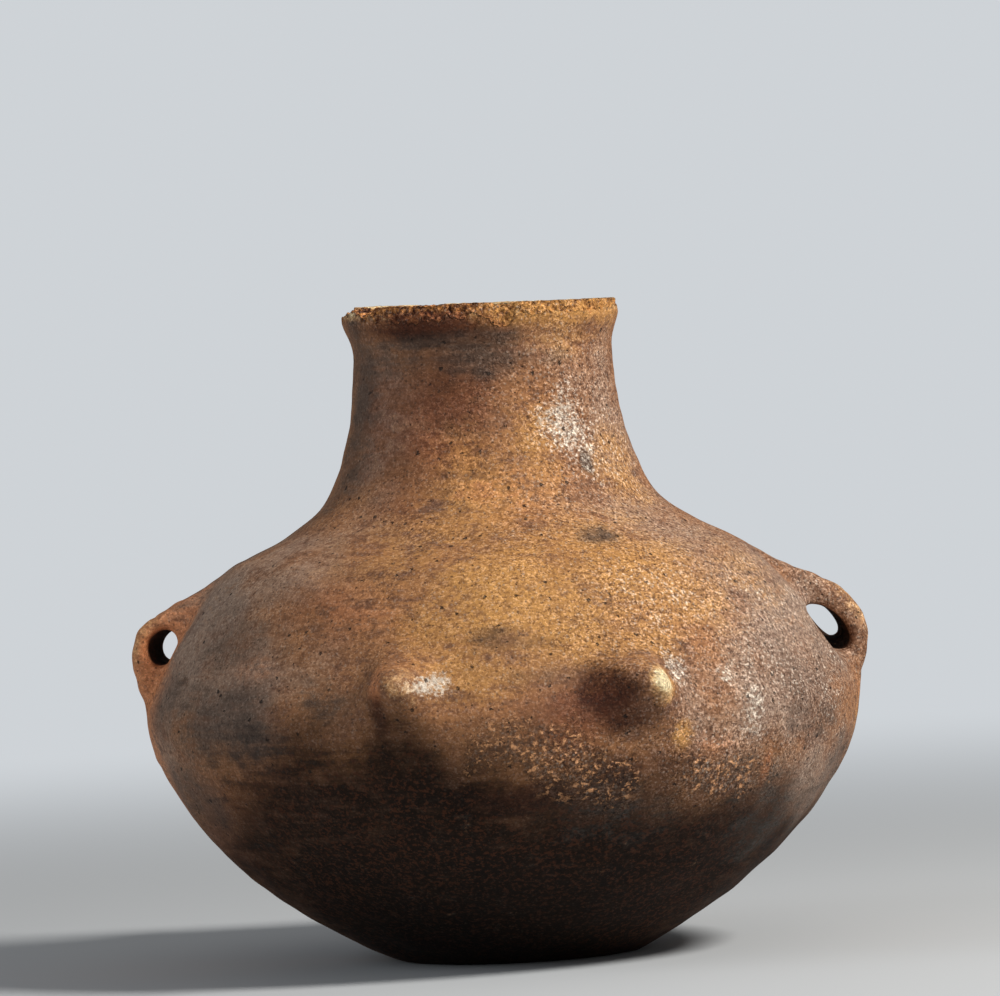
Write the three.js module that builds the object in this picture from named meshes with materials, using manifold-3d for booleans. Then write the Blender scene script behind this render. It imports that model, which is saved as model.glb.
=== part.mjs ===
// A hand-built terracotta jar: a wide round body on a small flat foot, a tall neck with a chipped lip,
// two pierced lugs on the shoulder and four blunt knobs round the belly. Its pieces are those that the
// potter formed and joined: a base disc, nine courses of clay, two lugs and four knobs.
// Millimetres, +Z up. The origin is the centre of the flat underside, and the front faces -Y.

import * as THREE from "three";
import { mergeVertices } from "three/addons/utils/BufferGeometryUtils.js";
import Module from "manifold-3d";

const wasm = await Module();
wasm.setup();

const radians = THREE.MathUtils.degToRad;

// Outside of the body, upwards from the foot
const footRadius = 47;
const footSlope = radians(24); // how steeply the wall leaves the table
const bellyRadius = 136.2;
const bellyHeight = 95;
const shoulderRadius = 97;
const shoulderRise = 60; // from the belly up to the middle of the shoulder
const shoulderSlope = radians(27);
const neckRootRadius = 59.3;
const neckRootRise = 29; // from the shoulder up to where the neck begins
const neckRootSlope = radians(65);
const waistRadius = 49.3; // the neck at its narrowest
const waistRise = 49;
const lipRadius = 52.5;
const lipRise = 11.5;
const lipSlope = radians(74);
const lipFace = 5.5; // height of the upright face of the lip

// Thickness of the wall
const floorThickness = 9;
const footWall = 9;
const bellyWall = 7.5;
const waistWall = 6;
const lipWall = 5;
const lipRounding = 1.4;

// Courses of clay, and where the joints between them lie
const lowerCourses = ["lower_wall_course", "middle_wall_course", "belly_course"];
const shoulderCourses = ["lower_shoulder_course", "middle_shoulder_course"];
const upperCourses = ["upper_shoulder_course", "neck_root_course", "neck_course"];
const baseEdgeHeight = 8; // the turned-up edge of the base disc
const bellyJointDrop = 8; // below the belly
const shoulderJointRise = 61; // above the belly, over the upper roots of the lugs
const rimStripHeight = 9;
const jointBevel = 5; // how much lower a joint comes out on the inside
const lutingGap = 0.3; // between the wall and what is luted onto it

// Lugs, each an ear pierced by an oval tunnel against the wall, and held by a tenon at its lower root.
// A rise is a share of the way up from the belly to the shoulder. The lengths of a crest and a tunnel
// are shares of a lug's width, and a standoff is measured out from the wall's face at its height. The
// oval leans from the slope of the wall there. Towards the back, the tunnel turns in and climbs.
// Pulls shape the edge between top, crest and bottom.
const lugWidth = 25;
const lugRootFlare = 0.5; // share by which a lug is wider at its roots
const lugRootDepth = 9;
const lugFullness = 2.6; // exponent of its rounded section, where 2 is an ellipse
const tunnelReach = 15; // of the tunnel's cut, each way from the middle of the lug
const tenonRadius = 4;
const tenonRise = 12;
const tenonDepth = 5.2; // into the wall
const tenonBite = 2; // into the lug
const lugs = [
  {
    name: "left_lug",
    azimuth: -93,
    top: { rise: 0.88, pullOut: 0.75, pullDown: 0.4 },
    crest: { standoff: 0.65, rise: 0.41, pullUp: 0.46, pullDown: 0.32 },
    bottom: { rise: -0.03, pullUp: 0.38 },
    tunnel: { standoff: 0.17, rise: 0.47, halfLength: 0.33, halfWidth: 0.22, lean: radians(5), taper: 0.09 },
    passage: { turn: radians(6), climb: 0 },
  },
  {
    name: "right_lug",
    azimuth: 93,
    top: { rise: 0.83, pullOut: 0.55, pullDown: 0.215 },
    crest: { standoff: 0.5, rise: 0.32, pullUp: 0.57, pullDown: 0.42 },
    bottom: { rise: 0, pullUp: 0.37 },
    tunnel: { standoff: 0.03, rise: 0.43, halfLength: 0.38, halfWidth: 0.2, lean: radians(-12), taper: 0.14 },
    passage: { turn: radians(2), climb: radians(6) },
  },
];

// Knobs: blunt cones with hollow flanks, pressed onto the wall
const knobLength = 15;
const knobTipRadius = 7.5;
const knobFlankTurn = radians(30); // of the flank away from upright, where it meets the tip
const knobFlankReach = 10; // how far the flank keeps to that direction
const knobRootRadius = 24;
const knobRootDepth = 5; // how far behind the wall's face the flanks start
const knobLift = radians(12); // a knob points a little upwards
const knobs = [
  { name: "front_left_knob", azimuth: -15.5, rise: 0.25 },
  { name: "front_right_knob", azimuth: 23, rise: 0.175 },
  { name: "back_right_knob", azimuth: 164.5, rise: 0.22 },
  { name: "back_left_knob", azimuth: 203, rise: 0.22 },
];

// Losses along the lip, in shares: a width is of the lip's radius, a depth from the top is of the rim
// strip's height, and a depth inwards from the outer face is of the lip's thickness
const lipLosses = [
  { azimuth: -72, width: 0.8, depth: 0.36, inwards: 1.6 },
  { azimuth: -26, width: 0.76, depth: 0.61, inwards: 0.4 },
  { azimuth: 4, width: 0.15, depth: 0.94, inwards: 0.52 },
];

const roundSteps = 60;
const wallStep = 15; // longest straight step up the wall
const lugSteps = 14;
const sectionSteps = 18;
const tunnelSteps = 20;
const tenonSteps = 16;
const knobSteps = 20;
const knobCurveSteps = 5;
const lossSteps = 28;

// Colours, from the ochre neck down to the smoked bowl
function clay(name, color, roughness) {
  return new THREE.MeshStandardMaterial({ name, color, roughness, metalness: 0 });
}

const ochreClay = clay("ochre_clay", 0x93663c, 0.75);
const mottledClay = clay("mottled_clay", 0x7d5738, 0.7);
const smokedClay = clay("smoked_clay", 0x33261f, 0.8);
const orangeClay = clay("orange_clay", 0x96603a, 0.8);
const brokenClay = clay("broken_clay", 0xa56c36, 0.9);
const paleClay = clay("worn_clay", 0xa37b4b, 0.7);
const clayOfCourse = {
  base_disc: smokedClay,
  lower_wall_course: smokedClay,
  middle_wall_course: smokedClay,
  belly_course: mottledClay,
  lower_shoulder_course: mottledClay,
  middle_shoulder_course: mottledClay,
  rim_course: brokenClay,
};

// Closed geometry to solid, and back
function solidOf(geometry) {
  const bare = geometry.clone();
  bare.deleteAttribute("normal");
  bare.deleteAttribute("uv");
  const merged = mergeVertices(bare, 1e-4);
  const mesh = new wasm.Mesh({
    numProp: 3,
    vertProperties: merged.attributes.position.array,
    triVerts: new Uint32Array(merged.index.array),
  });
  return new wasm.Manifold(mesh);
}

function geometryOf(solid) {
  const { numProp, numVert, vertProperties, triVerts } = solid.getMesh();
  const positions = new Float32Array(numVert * 3);
  for (let i = 0; i < numVert; i++) {
    positions.set(vertProperties.subarray(i * numProp, i * numProp + 3), i * 3);
  }
  const geometry = new THREE.BufferGeometry();
  geometry.setAttribute("position", new THREE.BufferAttribute(positions, 3));
  geometry.setIndex(new THREE.BufferAttribute(new Uint32Array(triVerts), 1));
  geometry.computeVertexNormals();
  return geometry;
}

// Outline of the outside. Each station has its place, the direction in which the wall runs there, and
// how far the curve keeps to that direction before and after it.
const shoulderHeight = bellyHeight + shoulderRise;
const neckRootHeight = shoulderHeight + neckRootRise;
const waistHeight = neckRootHeight + waistRise;
const lipHeight = waistHeight + lipRise;
const totalHeight = lipHeight + lipFace;
const upright = Math.PI / 2;

const stations = [
  { radius: footRadius, height: 0, run: footSlope, after: 49 },
  { radius: bellyRadius, height: bellyHeight, run: upright, before: 34, after: 10 },
  { radius: shoulderRadius, height: shoulderHeight, run: Math.PI - shoulderSlope, before: 17, after: 27 },
  { radius: neckRootRadius, height: neckRootHeight, run: Math.PI - neckRootSlope, before: 13, after: 12 },
  { radius: waistRadius, height: waistHeight, run: upright, before: 17, after: 4 },
  { radius: lipRadius, height: lipHeight, run: lipSlope, before: 4, after: 0 },
];

function along(station, distance) {
  const x = station.radius + Math.cos(station.run) * distance;
  const y = station.height + Math.sin(station.run) * distance;
  return new THREE.Vector2(x, y);
}

function wallOutline() {
  const path = new THREE.Path();
  path.moveTo(footRadius, 0);
  for (let i = 1; i < stations.length; i++) {
    const from = along(stations[i - 1], stations[i - 1].after);
    const to = along(stations[i], -stations[i].before);
    path.bezierCurveTo(from.x, from.y, to.x, to.y, stations[i].radius, stations[i].height);
  }
  path.lineTo(lipRadius, totalHeight - lipRounding);
  return path;
}

const outline = wallOutline();
const outlineLength = outline.getLength();

// Share of the outline's length at which it reaches a height
function shareAt(height) {
  let low = 0;
  let high = 1;
  while (high - low > 1e-7) {
    const middle = (low + high) / 2;
    if (outline.getPoint(middle).y < height) low = middle;
    else high = middle;
  }
  return low;
}

function thicknessAt(height) {
  const { mapLinear } = THREE.MathUtils;
  if (height < bellyHeight) return mapLinear(height, 0, bellyHeight, footWall, bellyWall);
  if (height < waistHeight) return mapLinear(height, bellyHeight, waistHeight, bellyWall, waistWall);
  return mapLinear(height, waistHeight, totalHeight, waistWall, lipWall);
}

// A point of the outer face, moved out from it by a distance
function outerPoint(share, distance = 0) {
  const run = outline.getTangent(share);
  const outward = new THREE.Vector2(run.y, -run.x);
  return outline.getPoint(share).addScaledVector(outward, distance);
}

function innerPoint(share) {
  const height = outline.getPoint(share).y;
  return outerPoint(share, -thicknessAt(height));
}

// Joints between courses, as shares of the outline
const bevelShare = jointBevel / outlineLength;
const baseJoint = shareAt(baseEdgeHeight);
const bellyJoint = shareAt(bellyHeight - bellyJointDrop);
const shoulderJoint = shareAt(bellyHeight + shoulderJointRise);
const rimJoint = shareAt(totalHeight - rimStripHeight);

function evenCourses(names, from, to) {
  const step = (to - from) / names.length;
  return names.map((name, i) => ({ name, from: from + i * step, to: from + (i + 1) * step }));
}

const courses = [
  { name: "base_disc", from: 0, to: baseJoint },
  ...evenCourses(lowerCourses, baseJoint, bellyJoint),
  ...evenCourses(shoulderCourses, bellyJoint, shoulderJoint),
  ...evenCourses(upperCourses, shoulderJoint, rimJoint),
  { name: "rim_course", from: rimJoint, to: 1 },
];

function sharesBetween(from, to) {
  const steps = Math.max(1, Math.ceil(((to - from) * outlineLength) / wallStep));
  return Array.from({ length: steps + 1 }, (_, i) => from + ((to - from) * i) / steps);
}

function revolve(profile, steps) {
  return new THREE.LatheGeometry(profile, steps).rotateX(Math.PI / 2);
}

// The inner face follows the outer one, and each joint comes out lower on the inside
function innerFace(course) {
  const to = course.to < 1 ? course.to - bevelShare : 1;
  return sharesBetween(course.from - bevelShare, to).map(innerPoint).reverse();
}

function baseProfile(outside, bevelEnd) {
  const centre = new THREE.Vector2(0, 0);
  const floorEdge = new THREE.Vector2(innerPoint(0).x, floorThickness);
  const floorCentre = new THREE.Vector2(0, floorThickness);
  return [centre, ...outside, bevelEnd, floorEdge, floorCentre];
}

function lipTop() {
  const outer = new THREE.Vector2(lipRadius - lipRounding, totalHeight);
  const inner = new THREE.Vector2(lipRadius - lipWall + lipRounding, totalHeight);
  return [outer, inner];
}

function courseSolid(course) {
  const outside = sharesBetween(course.from, course.to).map((share) => outerPoint(share));
  if (course.from === 0) {
    const bevelEnd = innerPoint(course.to - bevelShare);
    return solidOf(revolve(baseProfile(outside, bevelEnd), roundSteps));
  }
  const top = course.to === 1 ? lipTop() : [];
  return solidOf(revolve([...outside, ...top, ...innerFace(course), outside[0]], roundSteps));
}

// Everything inside the outer face of the wall, with the luting gap added
function wallEnvelope() {
  const shares = courses.flatMap((course, i) => sharesBetween(course.from, course.to).slice(i ? 1 : 0));
  const outside = shares.map((share) => outerPoint(share, lutingGap));
  const bottom = new THREE.Vector2(0, outside[0].y);
  const top = new THREE.Vector2(0, outside.at(-1).y);
  return solidOf(revolve([bottom, ...outside, top], roundSteps));
}

// Pieces on the wall are made at +X and turned to their azimuth: 0 is the front, and 90 is +X
const turnTo = (azimuth) => radians(azimuth) - Math.PI / 2;
const turned = (geometry, azimuth) => geometry.rotateZ(turnTo(azimuth));

// Share of the outline at a rise, which is a share of the way from the belly to the shoulder
function shareAtRise(rise) {
  return shareAt(bellyHeight + rise * shoulderRise);
}

// Point at a lug's rise that stands off from the wall's face
function standingOff({ rise, standoff }) {
  const face = outerPoint(shareAtRise(rise));
  return new THREE.Vector2(face.x + standoff * lugWidth, face.y);
}

// Outer edge of a lug in the plane of radius and height, from the shoulder over the crest to the belly
function lugEdge({ top, crest, bottom }) {
  const { lerp } = THREE.MathUtils;
  const start = outerPoint(shareAtRise(top.rise));
  const peak = standingOff(crest);
  const end = outerPoint(shareAtRise(bottom.rise));
  const startX = lerp(start.x, peak.x, top.pullOut);
  const startY = lerp(start.y, peak.y, top.pullDown);
  const peakTop = lerp(peak.y, start.y, crest.pullUp);
  const peakBottom = lerp(peak.y, end.y, crest.pullDown);
  const endTop = lerp(end.y, peak.y, bottom.pullUp);
  const edge = new THREE.Path();
  edge.moveTo(start.x, start.y);
  edge.bezierCurveTo(startX, startY, peak.x, peakTop, peak.x, peak.y);
  edge.bezierCurveTo(peak.x, peakBottom, end.x, endTop, end.x, end.y);
  return edge;
}

// Rounded section of a lug: along is from -1 at its root line to 1 at its edge, and across likewise
function sectionPoint(step) {
  const angle = (2 * Math.PI * step) / sectionSteps;
  const rounded = (value) => Math.sign(value) * Math.abs(value) ** (2 / lugFullness);
  return { along: rounded(Math.cos(angle)), across: rounded(Math.sin(angle)) };
}

// Geometry of a closed tube through rings of equal count, with a fan over each end
function loft(rings) {
  const count = rings[0].length;
  const total = (ring) => ring.reduce((sum, point) => sum.add(point), new THREE.Vector3());
  const middle = (ring) => total(ring).divideScalar(count);
  const points = [...rings.flat(), middle(rings[0]), middle(rings.at(-1))];
  const firstCentre = points.length - 2;
  const lastCentre = points.length - 1;
  const lastRing = (rings.length - 1) * count;
  const faces = [];
  for (let j = 0; j < count; j++) {
    const next = (j + 1) % count;
    for (let i = 0; i < lastRing; i += count) {
      faces.push(i + j, i + count + next, i + next);
      faces.push(i + j, i + count + j, i + count + next);
    }
    faces.push(firstCentre, j, next);
    faces.push(lastCentre, lastRing + next, lastRing + j);
  }
  const geometry = new THREE.BufferGeometry().setFromPoints(points);
  geometry.setIndex(faces);
  return geometry;
}

function ear(lug) {
  const edge = lugEdge(lug);
  const topShare = shareAtRise(lug.top.rise);
  const bottomShare = shareAtRise(lug.bottom.rise);
  const rings = [];
  for (let i = 0; i <= lugSteps; i++) {
    const share = i / lugSteps;
    const outer = edge.getPoint(share);
    const inner = outerPoint(THREE.MathUtils.lerp(topShare, bottomShare, share), -lugRootDepth);
    const flare = 1 + lugRootFlare * (2 * share - 1) ** 2;
    const ring = [];
    for (let j = 0; j < sectionSteps; j++) {
      const { along, across } = sectionPoint(j);
      const place = inner.clone().lerp(outer, (1 + along) / 2);
      ring.push(new THREE.Vector3(place.x, (across * flare * lugWidth) / 2, place.y));
    }
    rings.push(ring);
  }
  return solidOf(turned(loft(rings), lug.azimuth));
}

// Oval tunnel through a lug, along the wall and wider at the front of the vase
function tunnel({ azimuth, tunnel: hole, passage }) {
  const side = Math.sign(azimuth);
  const growth = (side * hole.taper * 2 * tunnelReach) / lugWidth;
  const cut = new THREE.CylinderGeometry(1 - growth, 1 + growth, 2 * tunnelReach, tunnelSteps);
  cut.scale(hole.halfLength * lugWidth, 1, hole.halfWidth * lugWidth);
  const slope = outline.getTangent(shareAtRise(hole.rise));
  cut.rotateY(Math.PI - slope.angle() + hole.lean);
  cut.rotateZ(side * passage.turn);
  cut.rotateX(side * passage.climb);
  const centre = standingOff(hole);
  cut.translate(centre.x, 0, centre.y);
  return solidOf(turned(cut, azimuth));
}

// The same tunnel widened towards the wall, so that nothing of the lug is left between the two
function clearedTunnel(lug) {
  const inwards = new THREE.Vector3(-lugRootDepth, 0, 0);
  inwards.applyAxisAngle(new THREE.Vector3(0, 0, 1), turnTo(lug.azimuth));
  const bore = tunnel(lug);
  return wasm.Manifold.hull([bore, bore.translate(inwards.toArray())]);
}

// Round tenon at the lower root of a lug, or its socket when it is grown by the luting gap
function tenon(lug, gap) {
  const height = bellyHeight + tenonRise;
  const face = outerPoint(shareAt(height)).x;
  const from = face - tenonDepth - gap;
  const to = face + lutingGap + tenonBite;
  const peg = new THREE.CylinderGeometry(tenonRadius + gap, tenonRadius + gap, to - from, tenonSteps);
  peg.rotateZ(Math.PI / 2).translate((from + to) / 2, 0, height);
  return solidOf(turned(peg, lug.azimuth));
}

function knobProfile() {
  const tipCentre = knobLength - knobTipRadius;
  const outX = Math.cos(knobFlankTurn);
  const outY = Math.sin(knobFlankTurn);
  const meetX = knobTipRadius * outX;
  const meetY = tipCentre + knobTipRadius * outY;
  const profile = new THREE.Path();
  profile.moveTo(0, -knobRootDepth);
  profile.lineTo(knobRootRadius, -knobRootDepth);
  profile.quadraticCurveTo(meetX + knobFlankReach * outY, meetY - knobFlankReach * outX, meetX, meetY);
  profile.absarc(0, tipCentre, knobTipRadius, knobFlankTurn, Math.PI / 2);
  return profile.getPoints(knobCurveSteps);
}

function knobBlank(knob) {
  const root = outerPoint(shareAtRise(knob.rise));
  const blank = new THREE.LatheGeometry(knobProfile(), knobSteps);
  blank.rotateZ(knobLift - Math.PI / 2).translate(root.x, 0, root.y);
  return solidOf(turned(blank, knob.azimuth));
}

// A loss is cut by a round drum that lies along the radius, and meets the top of the lip at both ends
// of its width
function lossCut(loss) {
  const halfWidth = (loss.width * lipRadius) / 2;
  const depth = loss.depth * rimStripHeight;
  const drumRadius = (halfWidth ** 2 + depth ** 2) / (2 * depth);
  const from = lipRadius - loss.inwards * lipWall;
  const to = lipRadius + lipWall;
  const drum = new THREE.CylinderGeometry(drumRadius, drumRadius, to - from, lossSteps);
  drum.rotateZ(Math.PI / 2).translate((from + to) / 2, 0, totalHeight - depth + drumRadius);
  return solidOf(turned(drum, loss.azimuth));
}

const vase = new THREE.Group();
vase.name = "terracotta_vase";

function addPiece(name, solid, material) {
  const piece = new THREE.Mesh(geometryOf(solid), material);
  piece.name = name;
  vase.add(piece);
}

const cutFrom = (solid, cutters) => cutters.reduce((rest, cutter) => rest.subtract(cutter), solid);
const lugCutters = lugs.flatMap((lug) => [tunnel(lug), tenon(lug, lutingGap)]);
const cuttersOfCourse = { rim_course: lipLosses.map(lossCut) };
for (const name of shoulderCourses) {
  cuttersOfCourse[name] = lugCutters;
}

for (const course of courses) {
  const solid = cutFrom(courseSolid(course), cuttersOfCourse[course.name] ?? []);
  addPiece(course.name, solid, clayOfCourse[course.name] ?? ochreClay);
}

const envelope = wallEnvelope();

for (const lug of lugs) {
  const solid = ear(lug).subtract(envelope).subtract(clearedTunnel(lug)).add(tenon(lug, 0));
  addPiece(lug.name, solid, orangeClay);
}

for (const knob of knobs) {
  addPiece(knob.name, knobBlank(knob).subtract(envelope), paleClay);
}

export default vase;
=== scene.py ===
"""Looks of a hand-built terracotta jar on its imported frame: clay over every course, lug and knob."""

import math

import bpy
import numpy as np
from mathutils import Matrix, Vector


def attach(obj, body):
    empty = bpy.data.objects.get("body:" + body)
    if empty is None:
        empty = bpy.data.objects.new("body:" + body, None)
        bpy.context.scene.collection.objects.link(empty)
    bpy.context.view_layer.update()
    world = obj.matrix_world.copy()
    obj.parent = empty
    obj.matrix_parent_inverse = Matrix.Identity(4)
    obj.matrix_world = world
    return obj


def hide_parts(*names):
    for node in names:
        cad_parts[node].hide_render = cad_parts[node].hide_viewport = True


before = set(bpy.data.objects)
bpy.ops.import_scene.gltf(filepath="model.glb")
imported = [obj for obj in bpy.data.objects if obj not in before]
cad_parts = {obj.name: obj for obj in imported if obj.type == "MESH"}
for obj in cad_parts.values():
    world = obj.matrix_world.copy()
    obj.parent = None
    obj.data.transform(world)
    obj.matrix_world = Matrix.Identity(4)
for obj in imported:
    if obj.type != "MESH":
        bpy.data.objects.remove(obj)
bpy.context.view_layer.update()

bl_info = {
    "name": "Terracotta jar",
    "version": (1, 0, 0),
    "blender": (4, 5, 0),
    "location": "View3D > Sidebar > Jar",
    "description": "Dresses the frame of a hand-built terracotta jar in weathered clay",
    "category": "Add Mesh",
}

FULL_TURN = 2 * math.pi
MILLIMETRE = 0.001
TINY = 1e-9  # keeps a divisor above zero
WAVE_COUNT = 16


# Values that a user would change


def length(name, description, default):
    return bpy.props.FloatProperty(name=name, description=description, default=default, subtype="DISTANCE")


def angle(name, description, default):
    return bpy.props.FloatProperty(
        name=name, description=description, default=math.radians(default), subtype="ANGLE"
    )


def number(name, description, default):
    return bpy.props.FloatProperty(name=name, description=description, default=default)


def colour(name, description, default):
    return bpy.props.FloatVectorProperty(
        name=name, description=description, default=default, size=3, subtype="COLOR", min=0, max=1
    )


class JarBody(bpy.types.PropertyGroup):
    foot_radius: length("Foot radius", "Radius of the flat underside", 0.047)
    foot_slope: angle("Foot slope", "How steeply the wall leaves the table", 24)
    belly_radius: length("Belly radius", "Largest radius of the body", 0.1362)
    belly_height: length("Belly height", "Height of the largest radius", 0.095)
    shoulder_radius: length("Shoulder radius", "Radius at the middle of the shoulder", 0.097)
    shoulder_rise: length("Shoulder rise", "From the belly up to the middle of the shoulder", 0.060)
    shoulder_slope: angle("Shoulder slope", "Slope of the wall there", 27)
    neck_root_radius: length("Neck root radius", "Radius where the neck begins", 0.0593)
    neck_root_rise: length("Neck root rise", "From the shoulder up to where the neck begins", 0.029)
    neck_root_slope: angle("Neck root slope", "Slope of the wall there", 65)
    waist_radius: length("Waist radius", "Radius of the neck at its narrowest", 0.0493)
    waist_rise: length("Waist rise", "From the root of the neck up to its waist", 0.049)
    lip_radius: length("Lip radius", "Radius of the lip's outer face", 0.0525)
    lip_rise: length("Lip rise", "From the waist up to the lip's outer face", 0.0115)
    lip_slope: angle("Lip slope", "Slope of the wall below the lip", 74)
    lip_face: length("Lip face", "Height of the lip's upright face", 0.0055)
    lip_tilt: length("Lip tilt", "How much higher the lip stands on the left", 0.0013)
    lip_rounding: length("Lip rounding", "Radius of the lip's edges", 0.0014)
    floor_thickness: length("Floor", "Thickness of the floor", 0.009)
    foot_wall: length("Wall at the foot", "Thickness of the wall at the foot", 0.009)
    belly_wall: length("Wall at the belly", "Thickness of the wall at the belly", 0.0075)
    waist_wall: length("Wall at the waist", "Thickness of the wall at the neck's waist", 0.006)
    lip_wall: length("Wall at the lip", "Thickness of the wall at the lip", 0.005)
    base_edge: length("Base edge", "Height of the base disc's turned-up edge", 0.008)
    belly_joint_drop: length("Belly joint", "How far below the belly its upper joint lies", 0.008)
    shoulder_joint_rise: length("Shoulder joint", "Height of the shoulder's joint above the belly", 0.061)
    rim_strip: length("Rim strip", "Height of the strip that makes the rim", 0.009)
    joint_bevel: length("Joint bevel", "How much lower a joint comes out on the inside", 0.005)
    unevenness: length("Unevenness", "Size of the broad hand-made waves of the wall", 0.00042)


class JarLugs(bpy.types.PropertyGroup):
    width: length("Width", "Width of a lug round the body", 0.025)
    rounding: length("Rounding", "Radius of a lug's edges", 0.0052)
    root_depth: length("Root depth", "How deep a lug's root sits in the wall", 0.009)
    root_dive: length("Root dive", "How far a lug's edge dives under the wall's face at its ends", 0.004)
    root_blend: length("Root blend", "How widely the clay is smeared from a lug onto the wall", 0.0065)
    hole_reach: length("Hole reach", "From a lug's middle to where its hole starts to run out", 0.012)
    hole_fade: length("Hole fade", "How far it takes to run out", 0.014)
    hole_blend: length("Hole edge", "Softness of a hole's edges", 0.0030)
    skin_depth: length("Skin", "How deep the lug's own clay goes into the wall", 0.0065)
    pitch: length("Pitch", "Size of the cells that a lug is meshed with", 0.00095)


class JarKnobs(bpy.types.PropertyGroup):
    length: length("Length", "How far a knob stands off the wall", 0.0150)
    root_radius: length("Root radius", "Radius at which a knob runs out into the wall", 0.024)
    tip_radius: length("Tip radius", "Radius of the blunt tip", 0.0064)
    flank_turn: angle("Flank turn", "Of the flank away from upright, where it meets the tip", 43)
    flank_reach: length("Flank reach", "How far the flank keeps to that direction", 0.0090)
    lift: angle("Lift", "How far a knob points upwards", 12)


class JarClay(bpy.types.PropertyGroup):
    ochre: colour("Ochre", "Fired clay in the light parts", (0.50, 0.222, 0.086))
    brown: colour("Brown", "Fired clay in the dark parts", (0.225, 0.108, 0.062))
    gold: colour("Gold", "Yellow patches of the shoulder and neck", (0.70, 0.350, 0.105))
    red: colour("Red", "Oxidised red-brown patches", (0.27, 0.092, 0.043))
    # Rust also gives a painted highlight on the left edge of the front left knob
    rust: colour("Rust", "Bright orange patches", (0.78, 0.31, 0.13))
    # Rubbed and polished clay also paint the highlight on the knobs' tips and right flanks
    rubbed_and_highlit: colour("Rubbed", "Clay that hands have rubbed", (0.90, 0.55, 0.24))
    polished_and_highlit: colour("Polished", "The palest rubbed clay", (1.0, 0.84, 0.50))
    dust: colour("Dust", "Pale grey film on the sides", (0.455, 0.342, 0.268))
    # Smoke also gives painted shade in the crease under the lip, down the neck's left edge, in pits and
    # between lumps
    smoke: colour("Smoke", "Grey-brown fire clouds", (0.115, 0.078, 0.059))
    # Soot also gives the black of painted shade low on the bowl, below the front left knob and inside the
    # lugs' holes
    soot: colour("Soot", "Black of the lower bowl", (0.0078, 0.0052, 0.0040))
    ash: colour("Ash", "Grey of the bowl where dust lies on the soot", (0.125, 0.117, 0.105))
    pale: colour("Lime", "Whitish deposits", (0.87, 0.78, 0.65))
    core: colour("Core", "Broken clay of the lip", (0.64, 0.27, 0.080))
    crust: colour("Crust", "Lumps of clay that stand out where the skin has gone", (0.86, 0.43, 0.20))


class JarStage(bpy.types.PropertyGroup):
    key: number("Key light", "Brightness on a white surface that faces the key light", 0.94)
    key_azimuth: angle("Key azimuth", "Where the key light stands, to the right of the front", 62)
    key_elevation: angle("Key elevation", "How high the key light stands", 42)
    key_size: length("Key size", "Width of the key light", 0.45)
    side: number("Side light", "Brightness on a white surface that faces the side light", 0.17)
    side_azimuth: angle("Side azimuth", "Where the side light stands, to the right of the front", -72)
    side_elevation: angle("Side elevation", "How high the side light stands", 24)
    side_size: length("Side size", "Width of the side light", 1.1)
    lamp_distance: length("Lamp distance", "From the jar to the lamps", 1.7)
    fill: number("Fill light", "Brightness of the light from all around", 0.20)
    backdrop: colour("Backdrop", "Colour of the backdrop", (0.62, 0.65, 0.68))
    floor: colour("Floor", "Colour of the floor", (0.60, 0.62, 0.64))
    lens: number("Lens", "Focal length on a 36 mm sensor, in millimetres", 281.2)
    camera_distance: length("Camera distance", "From the camera to the jar's axis", 3.0)
    camera_height: length("Camera height", "Height of the camera above the floor", 0.25)
    camera_pitch: angle("Camera pitch", "How far the camera looks down", 1.43)
    camera_roll: angle("Camera roll", "How far the camera is turned clockwise", 2.93)


# Unevenness, weathering, and painted highlight and shade


def smoothstep(low, high, value):
    share = np.clip((value - low) / (high - low), 0, 1)
    return share * share * (3 - 2 * share)


def waves(points, wavelength, seed, stretch=(1, 1, 1)):
    """Repeatable unevenness of about unit size: plane waves in random directions"""
    rng = np.random.default_rng(seed)
    headings = rng.normal(size=(WAVE_COUNT, 3))
    headings /= np.linalg.norm(headings, axis=1, keepdims=True) * np.array(stretch)
    headings *= FULL_TURN / (wavelength * rng.uniform(0.7, 1.5, (WAVE_COUNT, 1)))
    phases = rng.uniform(0, FULL_TURN, WAVE_COUNT)
    return np.sin(points @ headings.T + phases).sum(-1) * math.sqrt(2 / WAVE_COUNT)


def unit(vectors):
    """Directions of vectors, where one without a length stays zero"""
    shortest = 1e-12
    return vectors / np.maximum(np.linalg.norm(vectors, axis=-1, keepdims=True), shortest)


# How far from its middle a patch is full and where it ends, as shares of its half width or height
PATCH_FULL, PATCH_END = 0.1, 1.5
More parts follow.
